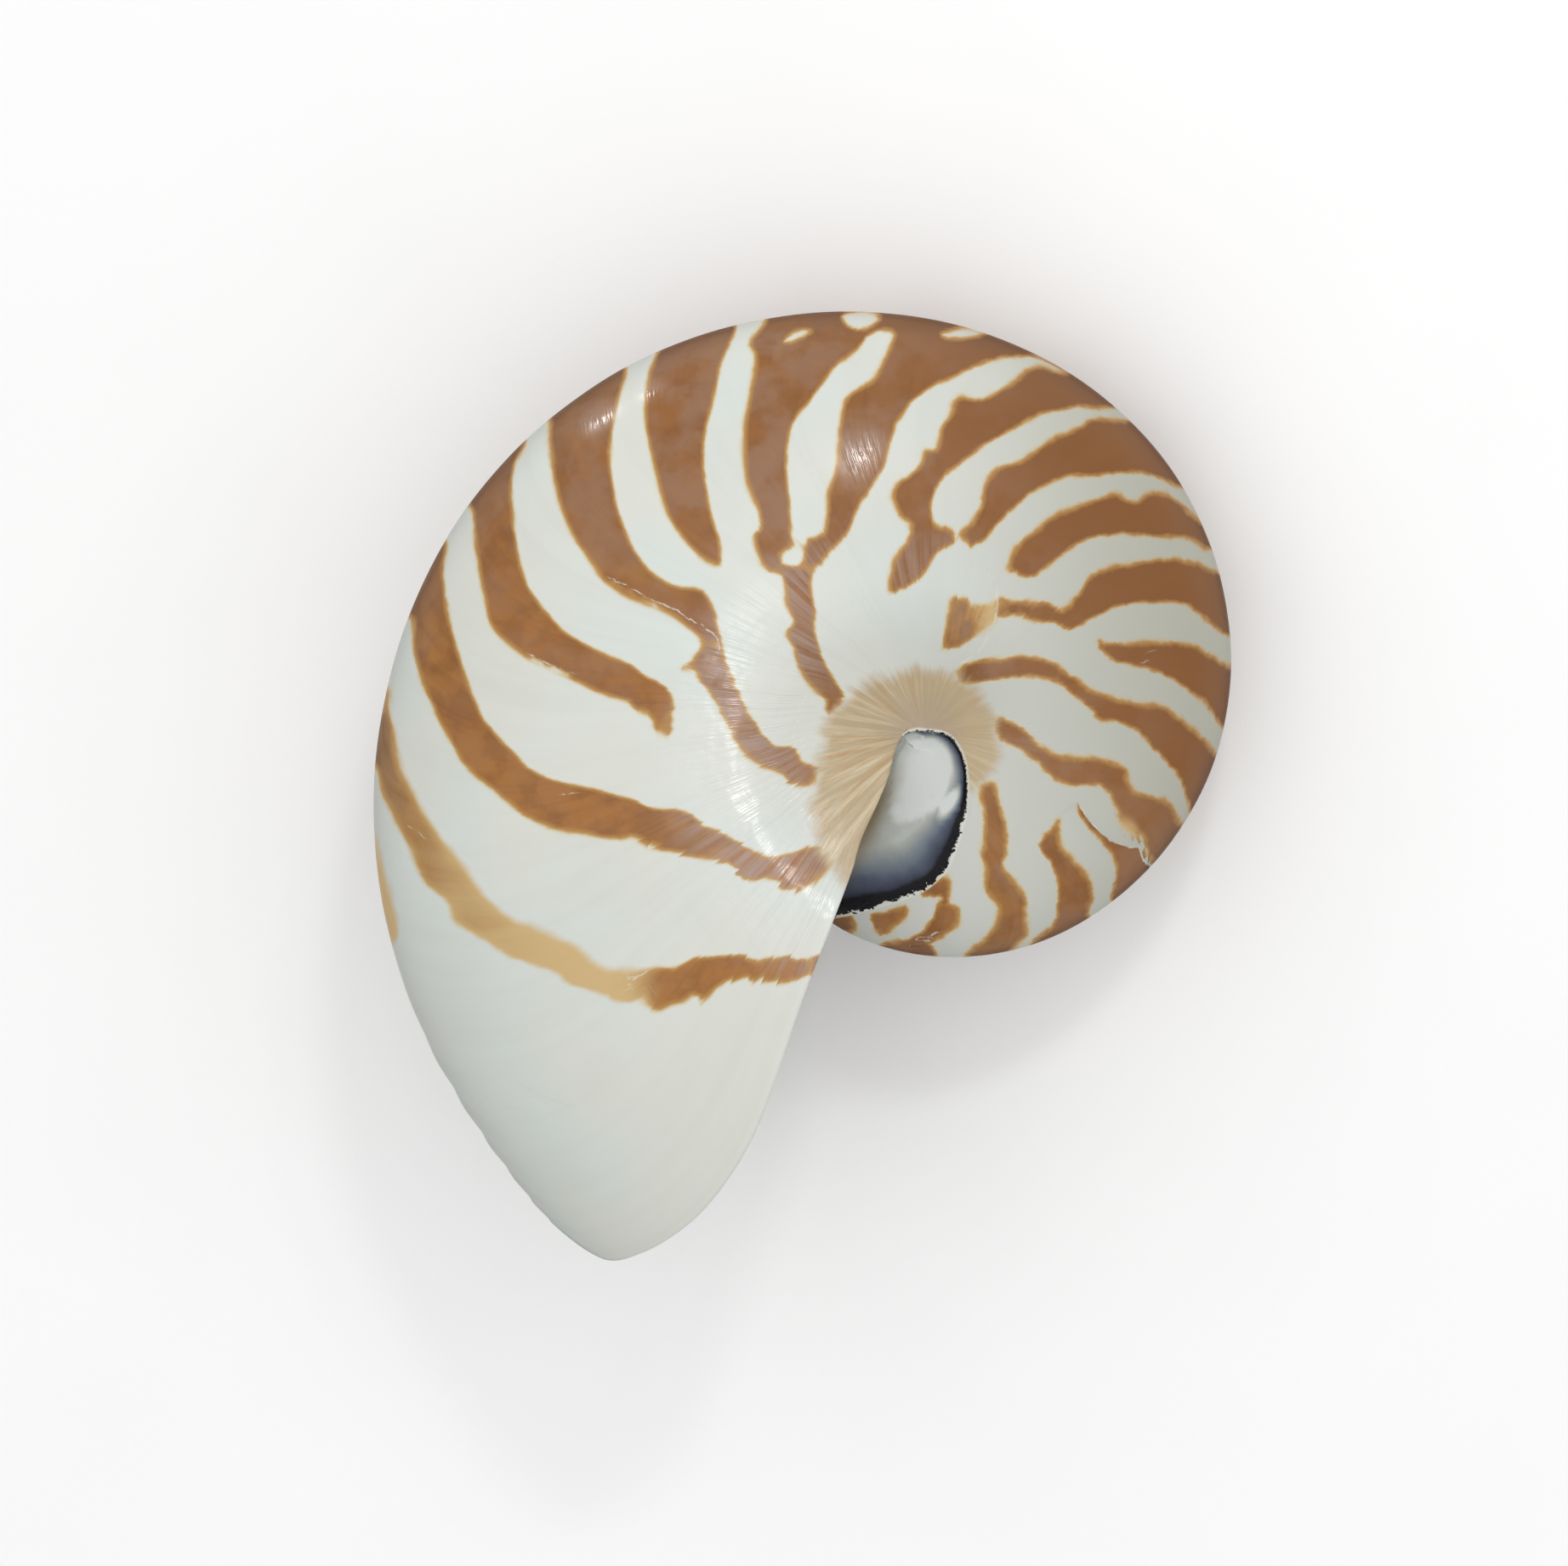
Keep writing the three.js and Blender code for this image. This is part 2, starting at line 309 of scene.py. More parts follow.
def add_outside(surface, poles):
    """One turn of the outer surface, in rows from under the lip to the lip. Returns its rows."""
    seam = seam_at(0.0)
    near = outside_columns(seam, NEAR_WALL, NEAR_BARE)
    far = outside_columns(seam, FAR_WALL, FAR_BARE)
    along, angle, before, angle_before = [across(n, f) for n, f in zip(near, far)]
    side = across(np.ones(len(near[0])), -np.ones(len(far[0])))
    side[len(far[0]) - 1] = 0
    spread = np.arange(ROWS + 1) / ROWS
    done = (np.log1p((ROW_CROWDING - 1) * spread) / np.log(ROW_CROWDING))[:, None]
    way = lerp(before, along, done)
    growth = lerp(angle_before, angle, smoothstep(done, 0, LIP_BLEND)) - TURN * (1 - done)
    radius, half = section(way, growth)
    lip_end = through(LIP, 1)
    step_up = np.maximum(section(along_at(radius, lip_end), lip_end)[1] - half, 0)
    half = half + step_up * (1 - smoothstep(done, *FLUSH_FADE)) * (1 - smoothstep(radius, *FLUSH_REACH))
    rows = surface.add(
        placed(radius, side * half, growth),
        region=OUTSIDE,
        done=done,
        age=age_of(LIP[0][1] - TURN * (1 - done)),
    )
    flush = np.linalg.norm(surface.places[rows[0]] - surface.places[rows[-1]], axis=1) < FLUSH_STEP
    rows[0] = np.where(flush, rows[-1], rows[0])
    surface.grid(rows)
    surface.fans(rows, poles)
    return rows


def add_chamber(surface, under_lip):
    """The living chamber: its wall, and its floor on the turn before. Returns the rows of both."""
    back = (CHAMBER_ARC * (np.arange(CHAMBER_ROWS + 1) / CHAMBER_ROWS) ** LIP_CROWDING)[:, None]
    seam_along, seam_angle, seam_before = seam_at(back)
    shares = across(column_shares(NEAR_WALL), column_shares(FAR_WALL))
    side = np.sign(np.arange(len(shares)) - FAR_WALL)
    age = age_of(LIP[0][1] - back)
    floor = section(seam_before * shares, seam_angle - TURN)
    floor_places = placed(floor[0], side * floor[1], seam_angle)
    floors = surface.add(floor_places[1:], region=FLOOR, back=back[1:], age=age[1:] - TURN)
    floors = np.concatenate([under_lip[None], floors])
    along = seam_along * shares[1:-1]
    angle = through(LIP, along) - back
    wall = inner_section(along, angle, wall_at(back))
    wall_places = placed(wall[0], side[1:-1] * wall[1], angle)
    walls = surface.add(wall_places, region=CHAMBER_WALL, back=back, age=age)
    walls = np.concatenate([floors[:, :1], walls, floors[:, -1:]], 1)
    surface.grid(walls)
    surface.grid(floors[::-1])
    return walls, floors


def add_rim(surface, lip, inside):
    """The rounded edge from the outside of the lip to its inside, or to the turn before."""
    outer, inner = surface.places[lip], surface.places[inside]
    height = np.linalg.norm(outer - inner, axis=-1, keepdims=True)
    forward = np.cross((0, 0, 1), outer * (1, 1, 0))
    forward /= np.maximum(np.linalg.norm(forward, axis=-1, keepdims=True), 1e-6)
    bulge = np.minimum(height, LIP_WALL) / 2
    turned = (np.pi * np.arange(1, RIM_ROWS) / RIM_ROWS)[:, None, None]
    places = lerp(inner, outer, (1 + np.cos(turned)) / 2) + forward * bulge * np.sin(turned)
    rows = surface.add(places, region=RIM, done=1, age=age_of(LIP[0][1]))
    rows = np.concatenate([lip[None], rows, inside[None]])
    standing = np.flatnonzero(lip != inside)
    surface.grid(rows[:, standing[0] - 1:standing[-1] + 2])


def add_septum(surface, wall, floor):
    """The dish that closes the chamber, and the siphuncle's tube in it."""
    loop = np.concatenate([wall, floor[-2:0:-1]])
    edge = surface.places[loop]
    radius = reach_of(edge)
    middle = (radius[FAR_WALL] + np.hypot(*surface.places[floor[FAR_WALL], :2])) / 2
    away = np.stack([radius - middle, edge[:, 2]], -1)
    length = np.linalg.norm(away, axis=-1, keepdims=True)
    rings = [loop]
    for share in 1 - np.arange(1, SEPTUM_RINGS + 1) / SEPTUM_RINGS:
        spot = away / length * lerp(SIPHUNCLE_RADIUS, length, share)
        angle = through(LIP, along_at(middle + spot[:, 0], LIP[0][1])) - CHAMBER_ARC
        angle = angle - SEPTUM_DISH * (1 - share * share)
        places = placed(middle + spot[:, 0], spot[:, 1], angle)
        rings.append(surface.add(places, region=SEPTUM, back=CHAMBER_ARC, age=FAR_AWAY * share))
    mouth = surface.places[rings[-1]]
    inward = np.cross(mouth.mean(0) * (1, 1, 0), (0, 0, 1))
    inward /= np.linalg.norm(inward)
    for i in range(1, SIPHUNCLE_RINGS + 1):
        deeper = mouth + inward * SIPHUNCLE_DEPTH * i / SIPHUNCLE_RINGS
        rings.append(surface.add(deeper, region=SEPTUM, back=CHAMBER_ARC))
    surface.grid(np.array(rings), closed=True)
    end = int(surface.add(surface.places[rings[-1]].mean(0)[None], region=SEPTUM, back=CHAMBER_ARC)[0])
    last = rings[-1].tolist()
    surface.faces += [[point, end, last[(i + 1) % len(last)]] for i, point in enumerate(last)]


def build_coil():
    """The whole shell as one closed surface, upright in the coil's frame."""
    surface = Surface()
    axis = np.array([(0, 0, -UMBILICUS_HALF_WIDTH), (0, 0, UMBILICUS_HALF_WIDTH)], float)
    poles = surface.add(axis, region=OUTSIDE, done=1, age=age_of(LIP[0][1])).tolist()
    outside = add_outside(surface, poles)
    bare = slice(FAR_BARE - 1, -(NEAR_BARE - 1))
    walls, floors = add_chamber(surface, outside[0][bare])
    inside = outside[0].copy()
    inside[bare] = walls[0]
    add_rim(surface, outside[-1], inside)
    add_septum(surface, walls[-1], floors[-1])
    return surface


# The markings. Their outlines were drawn, each as the x,y of its points in the photograph's pixels.

STRIPES = {
    "sliver": "428,975 438,995 446,1022 454,1052 461,1080 463,1098 455,1108 445,1090 434,1070 422,1050",
    "lowest": """
        430,795 455,811 453,829 458,850 463,880 469,904 481,927 495,955 515,987 534,1014 558,1046 574,1064
        598,1086 621,1097 645,1109 673,1123 704,1146 728,1150 748,1147 780,1137 795,1139 811,1129 831,1124
        874,1124 890,1130 910,1128 926,1126 952,1128 975,1128 975,1151 950,1149 930,1151 910,1155 894,1151
        884,1157 880,1145 871,1149 851,1155 837,1165 827,1179 819,1165 807,1175 786,1181 774,1186 764,1179
        760,1163 754,1170 736,1174 712,1166 693,1159 673,1153 661,1141 633,1133 602,1123 586,1113 562,1097
        540,1082 536,1068 527,1054 504,1038 493,1018 485,999 473,979 461,955 449,931 444,904 420,885""",
    "low": """
        460,712 484,726 487,761 495,797 507,826 521,858 536,886 546,900 558,912 590,937 621,959 657,975
        685,979 724,987 744,983 770,995 815,1008 855,1014 878,1032 906,1034 926,1046 954,1040 977,1014
        975,1007 957,997 926,1006 894,1006 859,987 827,971 807,955 768,951 740,939 700,929 657,921 625,908
        614,900 589,872 571,851 555,819 543,786 534,751 525,711 520,672 525,636 500,620""",
    "left": """
        530,580 554,597 559,644 566,683 570,704 575,729 584,744 604,761 621,774 650,786 686,806 711,817
        736,824 748,835 761,838 768,846 771,859 779,868 787,855 789,831 786,815 775,804 757,794 743,783
        721,774 693,761 664,744 643,722 621,694 611,661 605,626 600,583 604,547 618,519 600,500""",
    "long": """
        628,475 646,494 645,511 650,554 657,590 671,626 696,661 711,683 739,702 775,715 796,727 825,751
        827,758 817,775 803,787 817,788 828,806 848,836 870,878 893,898 923,911 929,921 953,923 960,904
        940,895 935,880 912,878 895,862 876,834 864,806 848,763 845,744 839,719 825,694 793,690 764,672
        743,644 729,608 723,583 718,540 720,501 729,458 737,431 722,408""",
    "short": """
        762,385 773,411 764,440 759,483 764,526 775,572 786,604 804,633 829,658 846,665 848,658 846,640
        836,608 830,572 827,540 830,501 839,465 848,422 866,383 858,358""",
    "top": """
        893,340 900,377 882,401 889,422 880,476 875,501 875,540 879,569 893,601 895,622 887,633 895,661
        900,670 918,672 926,710 935,730 925,744 935,763 940,786 954,806 971,822 973,834 977,839 992,820
        980,800 966,772 960,752 957,724 954,696 953,676 966,660 974,648 991,634 998,621 1011,592 1033,558
        1041,540 1052,503 1070,473 1092,458 1122,444 1159,425 1189,419 1222,419 1259,438 1280,412 1200,375
        1100,342 1000,330""",
    "top_right": """
        1276,416 1257,438 1222,431 1203,440 1185,455 1155,469 1133,466 1122,473 1118,488 1107,506 1102,530
        1089,532 1081,551 1055,569 1050,584 1059,606 1072,617 1068,636 1052,658 1046,693 1066,690 1089,673
        1100,651 1122,636 1118,623 1100,619 1094,599 1100,577 1115,555 1137,540 1159,521 1189,506 1222,488
        1263,479 1311,479 1334,456""",
    "right_1": """
        1350,474 1327,495 1288,493 1270,503 1244,514 1226,525 1203,542 1174,551 1159,569 1155,592 1144,614
        1129,629 1140,640 1155,638 1174,614 1196,595 1218,577 1251,562 1288,558 1333,555 1362,562 1388,573
        1412,556""",
    "right_2": """
        1185,669 1196,643 1218,625 1240,606 1270,595 1300,586 1311,582 1333,592 1351,580 1374,582 1396,599
        1414,614 1436,602 1450,640 1423,647 1396,632 1362,632 1325,627 1288,632 1263,643 1233,666 1214,678
        1196,675""",
    "right_3": """
        1173,707 1190,708 1212,711 1235,710 1249,719 1266,703 1285,677 1307,667 1344,662 1377,658 1407,662
        1433,673 1460,662 1475,750 1447,749 1418,728 1392,710 1362,708 1325,710 1292,723 1266,737 1252,738
        1238,731 1215,730 1190,725 1174,723""",
    "patch": "1121,704 1142,709 1152,715 1170,715 1162,732 1142,750 1124,761 1109,761 1115,732",
    "right_4": """
        1290,752 1311,758 1344,756 1370,756 1407,762 1446,784 1472,780 1470,866 1440,858 1418,828 1396,810
        1374,795 1344,784 1311,778 1296,764""",
    "right_5": """
        1126,790 1145,780 1170,776 1203,773 1235,778 1259,795 1281,811 1307,821 1337,828 1366,832 1392,850
        1418,873 1429,887 1455,900 1435,975 1403,959 1398,942 1388,914 1374,897 1355,876 1333,856 1307,847
        1295,849 1280,830 1257,813 1233,799 1203,795 1166,799 1132,805""",
    "right_6": """
        1175,846 1200,856 1214,871 1243,889 1284,892 1311,899 1322,905 1325,916 1332,931 1345,936 1370,942
        1380,953 1386,967 1412,985 1388,1030 1360,1014 1350,1004 1347,992 1346,984 1330,974 1319,964
        1309,943 1292,922 1257,923 1238,914 1221,897 1197,879 1174,867""",
    "low_right_1": """
        1269,945 1284,961 1298,976 1313,986 1328,991 1344,991 1347,1003 1351,1010 1372,1026 1335,1078
        1307,1059 1309,1048 1313,1032 1314,1020 1310,1008 1303,998 1289,983 1279,971 1270,956""",
    "low_right_2": """
        1245,964 1233,980 1222,994 1233,1011 1243,1031 1245,1056 1240,1087 1212,1111 1225,1138 1303,1100
        1279,1076 1284,1056 1281,1035 1264,1014 1246,994""",
    "low_right_3": """
        1153,928 1167,920 1174,938 1181,966 1184,1000 1178,1018 1191,1035 1205,1056 1205,1076 1207,1100
        1191,1118 1200,1142 1140,1150 1136,1124 1157,1107 1171,1087 1174,1066 1159,1045 1160,1021 1155,1007
        1159,966""",
}
STRIPES_BEFORE = {
    "under_film": """
        1113,1032 1082,1049 1103,1056 1108,1059 1103,1064 1100,1075 1093,1088 1082,1097 1068,1105 1049,1108
        1033,1112 1030,1142 1100,1145 1100,1120 1093,1112 1109,1102 1124,1091 1129,1080 1125,1069 1116,1064
        1117,1048""",
    "under_film_small": "1067,1065 1052,1069 1036,1073 1026,1076 1030,1096 1039,1099 1052,1089 1065,1076",
    "by_the_lip": "960,1070 1002,1080 1004,1096 977,1099 955,1096",
}
WHITE_ISLANDS = [
    """
        1040,388 1020,394 1007,410 981,432 959,462 937,488 928,510 924,547 928,599 930,629 931,640 944,641
        955,632 970,625 974,599 974,577 985,547 987,510 991,481 996,466 1026,447 1041,421 1052,394""",
    "915,656 922,647 931,642 936,630 943,630 944,641 948,652 943,663 931,667 920,664",
    "922,401 928,394 938,389 953,387 947,394 936,400 928,403",
    "990,372 1004,366 1028,366 1033,376 1018,386 1000,386",
    "1107,392 1125,386 1148,386 1159,391 1146,397 1118,398",
]
CALLUS = """
    1010,805 1037,797 1075,786 1103,788 1128,797 1147,808 1163,832 1174,860 1177,879 1169,904 1155,925
    1139,939 1100,960 1040,1010 1005,1050 988,1034 971,1010 958,983 955,942 960,904 966,873 971,849 990,824"""
FILM = """
    1049,880 1063,864 1078,859 1091,860 1107,862 1119,868 1130,885 1135,902 1137,920 1137,940 1135,958
    1131,970 1127,986 1120,1006 1112,1022 1102,1033 1088,1045 1066,1055 1047,1061 1020,1069 985,1077
    940,1080 940,1000 980,910 1015,885"""
CREAM_SPOT = """
    1081,863 1098,864 1110,872 1119,886 1123,904 1120,918 1116,932 1111,948 1098,958 1082,967 1066,972
    1051,969 1042,958 1042,936 1045,914 1050,890 1064,869"""
LEDGE_FADE = (925, 975)  # y, and the film lies deep under the callus above the first, not below the second
FILM_MARGIN = ((1070, 0.2), (1118, 2.4))  # x, and how far in from its edge the film is dark there, in mm
FILM_MARGIN_LOW = ((905, 1010), 11.5)  # y from where to where this margin gives way to a wider one, in mm
FILM_BLACK = 0.3  # mm, how far it is black there
FILM_LIGHTEST = 0.82  # outside the cream spot and the gleam
FILM_CORNER, FILM_CORNER_SHADE = ((985, 1052), (75, 50), -12), 0.45  # where it is darker, and by what share
LIP_SHADE_BAND = ((1022, 962), (108, 28), 114)  # middle, radii and lean of the olive tint beside the lip, a painted shade and painted reflection of the lip
# The gleam is a painted highlight on the film.
GLEAM, GLEAM_STRENGTH = ((1115, 944), (46, 18), 122), 1.3

# Degrees behind the lip: where the chamber's floor takes on the film, over which the film lightens there, and
# where nacre takes its place
FLOOR_FILM = 1.5
FLOOR_LIGHTENS = (8, 30)
FLOOR_NACRE = 22
DEGREE = 0.6  # mm, taken as the length of a degree there

PALE_SPOT = ((1326, 973), (25, 17), 25)  # where a stripe fades beside the break
PATCH_FADE = ((1132, 1170), (0.5, -0.35))  # x, and how deep the patch's points count as at most, in mm
COMBED = [((1012, 530), (42, 66), 8), ((706, 489), (40, 26), -33), ((765, 460), (26, 18), -20)]
SPECKS = [((760.5, 567), (3, 1.6), 10), ((759.5, 580.5), (2.4, 1.4), 0)]

# The rays of the callus: their middle, and the circle on which their widths are measured, in mm
RAY_MIDDLE = (1087, 862)
RAY_CIRCLE = 12

# Healed breaks and scratches, and two dashes that are painted glints. Each is the strength of a step, down on
# its right, and its line. The stripes are worn pale beside some.
WORN = ("crack", "streak")
SCARS = {
    "repair": (0.6, "1159,660 1172,695 1173,714 1170,732 1159,754 1144,773 1127,782 1126,800"),
    "break": (1.3, """
        1268,946 1280,965 1295,981 1311,992 1327,997 1340,997 1341,1004 1344,1012 1352,1019 1368,1028"""),
    "crack": (1.2, """
        716,678 723,683 736,688 750,697 776,710 795,716 808,726 820,733 834,739 843,748 846,762"""),
    "streak": (0.8, "624,770 640,778 660,787 674,792"),
    # two painted glints: short pale dashes where light catches the surface
    "glint_dash": (0.3, "1349,768 1364,764"),
    "glint_dash_low": (0.3, "1343,779 1351,776"),
    "scratch": (0.5, "482,973 490,979 502,988"),
    "scratch_low": (0.5, "661,934 672,933 680,933"),
    "scratch_amber": (0.7, "736,1166 745,1154 753,1146 768,1140"),
    "scratch_amber_2": (0.6, "737,1150 742,1160 748,1168"),
    "scratch_tip": (0.4, "546,1290 585,1301 622,1306"),
    "scratch_tip_2": (0.4, "600,1268 640,1290 668,1300"),
    "chip": (1.6, "1072,1108 1080,1103 1089,1106 1097,1099 1106,1096"),
    "chip_low": (1.2, "1080,1110 1092,1109 1100,1103"),
}
LOWEST_FADE = [
    (440, 0.2), (500, 0.42), (530, 0.62), (570, 0.7), (640, 0.9),
    (700, 1), (735, 0.85), (762, 0.4), (790, 0),
]  # x, and how pale the lowest stripe is there


def photo_pixels(places):
    """Where points of the coil's frame lie in the photograph."""
    nearer = CAMERA_DISTANCE / (CAMERA_DISTANCE - places[:, 2])
    camera = camera_place()
    x = MIDDLE_PIXEL[0] + (places[:, 0] - camera[0]) * nearer / PIXEL
    y = MIDDLE_PIXEL[1] - (places[:, 1] - camera[1]) * nearer / PIXEL
    return np.stack([x, y], -1)


def camera_place():
    """The camera, in the coil's frame: above the middle of the photograph."""
    right = (MIDDLE_PIXEL[0] - AXIS_PIXEL[0]) * PIXEL
    up = (AXIS_PIXEL[1] - MIDDLE_PIXEL[1]) * PIXEL
    return right, up, CAMERA_DISTANCE


def points_of(line):
    """The points of an outline or a line, from its text."""
    return np.array([point.split(",") for point in line.split()], float)


def rounded(outline, steps=4):
    """A closed smooth curve through an outline's points."""
    here = points_of(outline)
    last, after, later = np.roll(here, 1, 0), np.roll(here, -1, 0), np.roll(here, -2, 0)
    leaving, arriving = (after - last) * 0.4, (later - here) * 0.4
    t = (np.arange(steps) / steps)[:, None, None]
    ease = t * t * (3 - 2 * t)
    curve = lerp(here, after, ease) + t * (1 - t) * ((1 - t) * leaving - t * arriving)
    return curve.transpose(1, 0, 2).reshape(-1, 2)


def nearest_on_segments(spots, start, end):
    """The segment nearest to each spot, and the way to the spot from the nearest point on it."""
    run = end - start
    length = np.maximum((run ** 2).sum(-1), 1e-9)
    from_start = spots[:, None] - start
    t = np.clip((from_start * run).sum(-1) / length, 0, 1)
    offset = from_start - t[..., None] * run
    nearest = (offset ** 2).sum(-1).argmin(1)
    return nearest, offset[np.arange(len(spots)), nearest]


def edge_near(spots, outline):
    """How deep each spot lies inside a closed outline, in mm, negative outside, and which way is out."""
    outline = rounded(outline)
    margin = OUTLINE_MARGIN / PIXEL
    depth = np.full(len(spots), -FAR_AWAY)
    outward = np.zeros((len(spots), 2))
    close = np.all((spots > outline.min(0) - margin) & (spots < outline.max(0) + margin), 1)
    x, y = spots[close].T
    start, end = outline, np.roll(outline, -1, 0)
    _, offset = nearest_on_segments(spots[close], start, end)
    distance = np.hypot(*offset.T)
    rises = (start[:, 1] > y[:, None]) != (end[:, 1] > y[:, None])
    slope = (end[:, 0] - start[:, 0]) / np.where(end[:, 1] == start[:, 1], 1e-9, end[:, 1] - start[:, 1])
    crossing = start[:, 0] + slope * (y[:, None] - start[:, 1])
    side = np.where((rises & (x[:, None] < crossing)).sum(1) % 2 == 1, 1, -1)
    depth[close] = side * distance * PIXEL
    outward[close] = offset * (-side / np.maximum(distance, 1e-6))[:, None]
    return depth, outward


def depth_inside(spots, outline):
    return edge_near(spots, outline)[0]


def side_of_line(spots, line):
    """Signed distance to an open line, in mm, and how far past the line's ends each spot lies."""
    start, end = points_of(line)[:-1], points_of(line)[1:]
    nearest, offset = nearest_on_segments(spots, start, end)
    run = (end - start)[nearest]
    length = np.hypot(run[:, 0], run[:, 1])
    away = spots - start[nearest]
    side = np.sign(run[:, 0] * away[:, 1] - run[:, 1] * away[:, 0])
    along = (run * away).sum(1) / length
    before = np.where(nearest == 0, -along, 0)
    after = np.where(nearest == len(start) - 1, along - length, 0)
    past = np.maximum(np.maximum(before, after), 0)
    return np.hypot(*offset.T) * side * PIXEL, past * PIXEL


def scar_field(spots):
    """Signed distance to the nearest scar, in mm, its strength there, and how far it has worn a stripe."""
    nearest = np.full(len(spots), FAR_AWAY)
    strength = np.zeros(len(spots))
    worn = np.zeros(len(spots))
    for name, (power, line) in SCARS.items():
        side, past = side_of_line(spots, line)
        closer = np.abs(side) < np.abs(nearest)
        nearest = np.where(closer, side, nearest)
        fade = (1 - smoothstep(past, 0, 0.4)) * (1 - smoothstep(np.abs(side), 2, 6))
        strength = np.where(closer, power * fade, strength)
        worn = np.where(closer, fade * (name in WORN), worn)
    return nearest, strength, worn


def stripe_edges(spots, early):
    """How deep each spot lies inside the stripes, in mm, which stripe that is, and which way is out."""
    depth = np.full(len(spots), -FAR_AWAY)
    outward = np.zeros((len(spots), 2))
    owner = np.zeros(len(spots), int)
    for number, (name, outline) in enumerate({**STRIPES, **STRIPES_BEFORE}.items()):
        own, way_out = edge_near(spots, outline)
        if name in STRIPES_BEFORE:
            own = np.where(early, own, -FAR_AWAY)
        if name == "patch":
            own = np.minimum(own, lerp(*PATCH_FADE[1], smoothstep(spots[:, 0], *PATCH_FADE[0])))
        closer = own > depth
        owner[closer] = number
        outward[closer] = way_out[closer]
        depth = np.maximum(depth, own)
    for island in WHITE_ISLANDS:
        own, way_out = edge_near(spots, island)
        closer = -own < depth
        outward[closer] = -way_out[closer]
        depth = np.minimum(depth, -own)
    return depth, owner, outward


def owned_by(owner, name):
    return owner == list(STRIPES).index(name)


def paleness(spots, owner):
    """How far the stripes fade: 0 is full brown, 1 is pale amber."""
    x = spots[:, 0]
    fading = {
        "sliver": 0.8,
        "lowest": through(LOWEST_FADE, x),
        "patch": 0.1 + 0.5 * smoothstep(x, 1140, 1166),
        "right_6": 0.1 + 0.5 * soft_spot(spots, *PALE_SPOT),
        "low_right_3": 0.15,
    }
    pale = np.zeros(len(spots))
    for name, values in fading.items():
        pale = np.where(owned_by(owner, name), values, pale)
    return pale


def soft_spot(spots, middle, radii, lean=0):
    """1 at the middle of a leaning ellipse, fading to 0 at its edge."""
    turned = np.radians(lean)
    x, y = (spots - middle).T
    along = x * np.cos(turned) + y * np.sin(turned)
    aside = y * np.cos(turned) - x * np.sin(turned)
    return 1 - smoothstep(np.hypot(along / radii[0], aside / radii[1]), 0, 1)


def film_light(spots, depth):
    """How light the film on the turn before is: 0 is black, 1 is creamy nacre, and the gleam is a painted
    highlight.
    """
    (left, narrow), (right, wide) = FILM_MARGIN
    rightmost = smoothstep(spots[:, 0], left, right)
    lowest = smoothstep(spots[:, 1], *FILM_MARGIN_LOW[0])
    margin = lerp(lerp(narrow, wide, rightmost), FILM_MARGIN_LOW[1], lowest)
    veil = np.clip((depth - FILM_BLACK * np.maximum(rightmost, lowest)) / margin, 0, FILM_LIGHTEST)
    veil *= 1 - FILM_CORNER_SHADE * soft_spot(spots, *FILM_CORNER)
    cream = smoothstep(depth_inside(spots, CREAM_SPOT), -1, 1)
    gleam = GLEAM_STRENGTH * soft_spot(spots, *GLEAM) * smoothstep(depth, 0.5, 1.6)
    return np.maximum(np.maximum(veil, cream), gleam)


# The vertices' traits

def normals_of(places, faces):
    """Outward directions, each the mean of the faces around a point."""
    corners = np.array([face if len(face) == 4 else face + face[-1:] for face in faces])
    a, b, c, d = places[corners].transpose(1, 0, 2)
    across_face = np.cross(c - a, d - b)
    total = np.zeros_like(places)
    for column in corners.T:
        for k in range(3):
            total[:, k] += np.bincount(column, across_face[:, k], len(places))
    return total / np.maximum(np.linalg.norm(total, axis=1, keepdims=True), 1e-9)


def strayed(spots, far):
    """Spots moved about on the far side, so that its stripes aren't the near side's mirror image."""
    x, y = spots.T
    drift = np.stack([np.sin(y / 61 + 1), np.sin(x / 53 + 2)], -1)
    drift += 0.5 * np.stack([np.sin(y / 23), np.sin(x / 29 + 4)], -1)
    return spots + FAR_DRIFT * drift * far[:, None]


def strongest(spots, ellipses):
    return np.max([soft_spot(spots, *ellipse) for ellipse in ellipses], 0)


def tone_fields(surface):
    """How far colour, painted shade, teeth and polish change from place to place, each from 0 to 1."""
    places = surface.places
    done = surface.traits["done"]
    keel = SPIRAL_RATE * np.maximum(surface.traits["age"], 1)
    flank = np.clip(reach_of(places) / keel, 0, 1)
    shoulder = 1 - smoothstep(flank, 0.4, 0.85)
    band = smoothstep(flank, 0.17, 0.27) * (1 - smoothstep(flank, 0.4, 0.52))
    across_warmth = 0.6 * places[:, 0] + 0.8 * places[:, 1] + 20
    return {
        "shoulder": shoulder,
        "jumpy": smoothstep(done, 0.8, 0.93) * shoulder,
        "brushed": band * (0.15 + 0.85 * smoothstep(done, 0.64, 0.83)),
        # painted highlight: the shoulder band where the lamp's streaks of light fall on the browns
        "streak_highlight_band": band * smoothstep(done, 0.45, 0.65),
        "old": 1 - smoothstep(done, 0.35, 0.7),
        # painted shade: the whites and the stripes' edges darker towards the right, where less light falls
        "right_shade": smoothstep(places[:, 0] + 0.12 * places[:, 1], 0, 50),
        # painted shade: the browns darker towards the right and the top right, where less light falls
        "brown_right_shade": smoothstep(places[:, 0] + 0.5 * places[:, 1], 5, 50),
        "warmth": 0.5 - 0.5 * np.tanh(across_warmth / 22),
        # painted shade: whites and browns darker towards the keel, where the shell turns away from the light
        "keel": 1 - smoothstep(np.abs(places[:, 2]) / (HALF_WIDTH_SHARE * keel), 0.1, 0.6),
    }


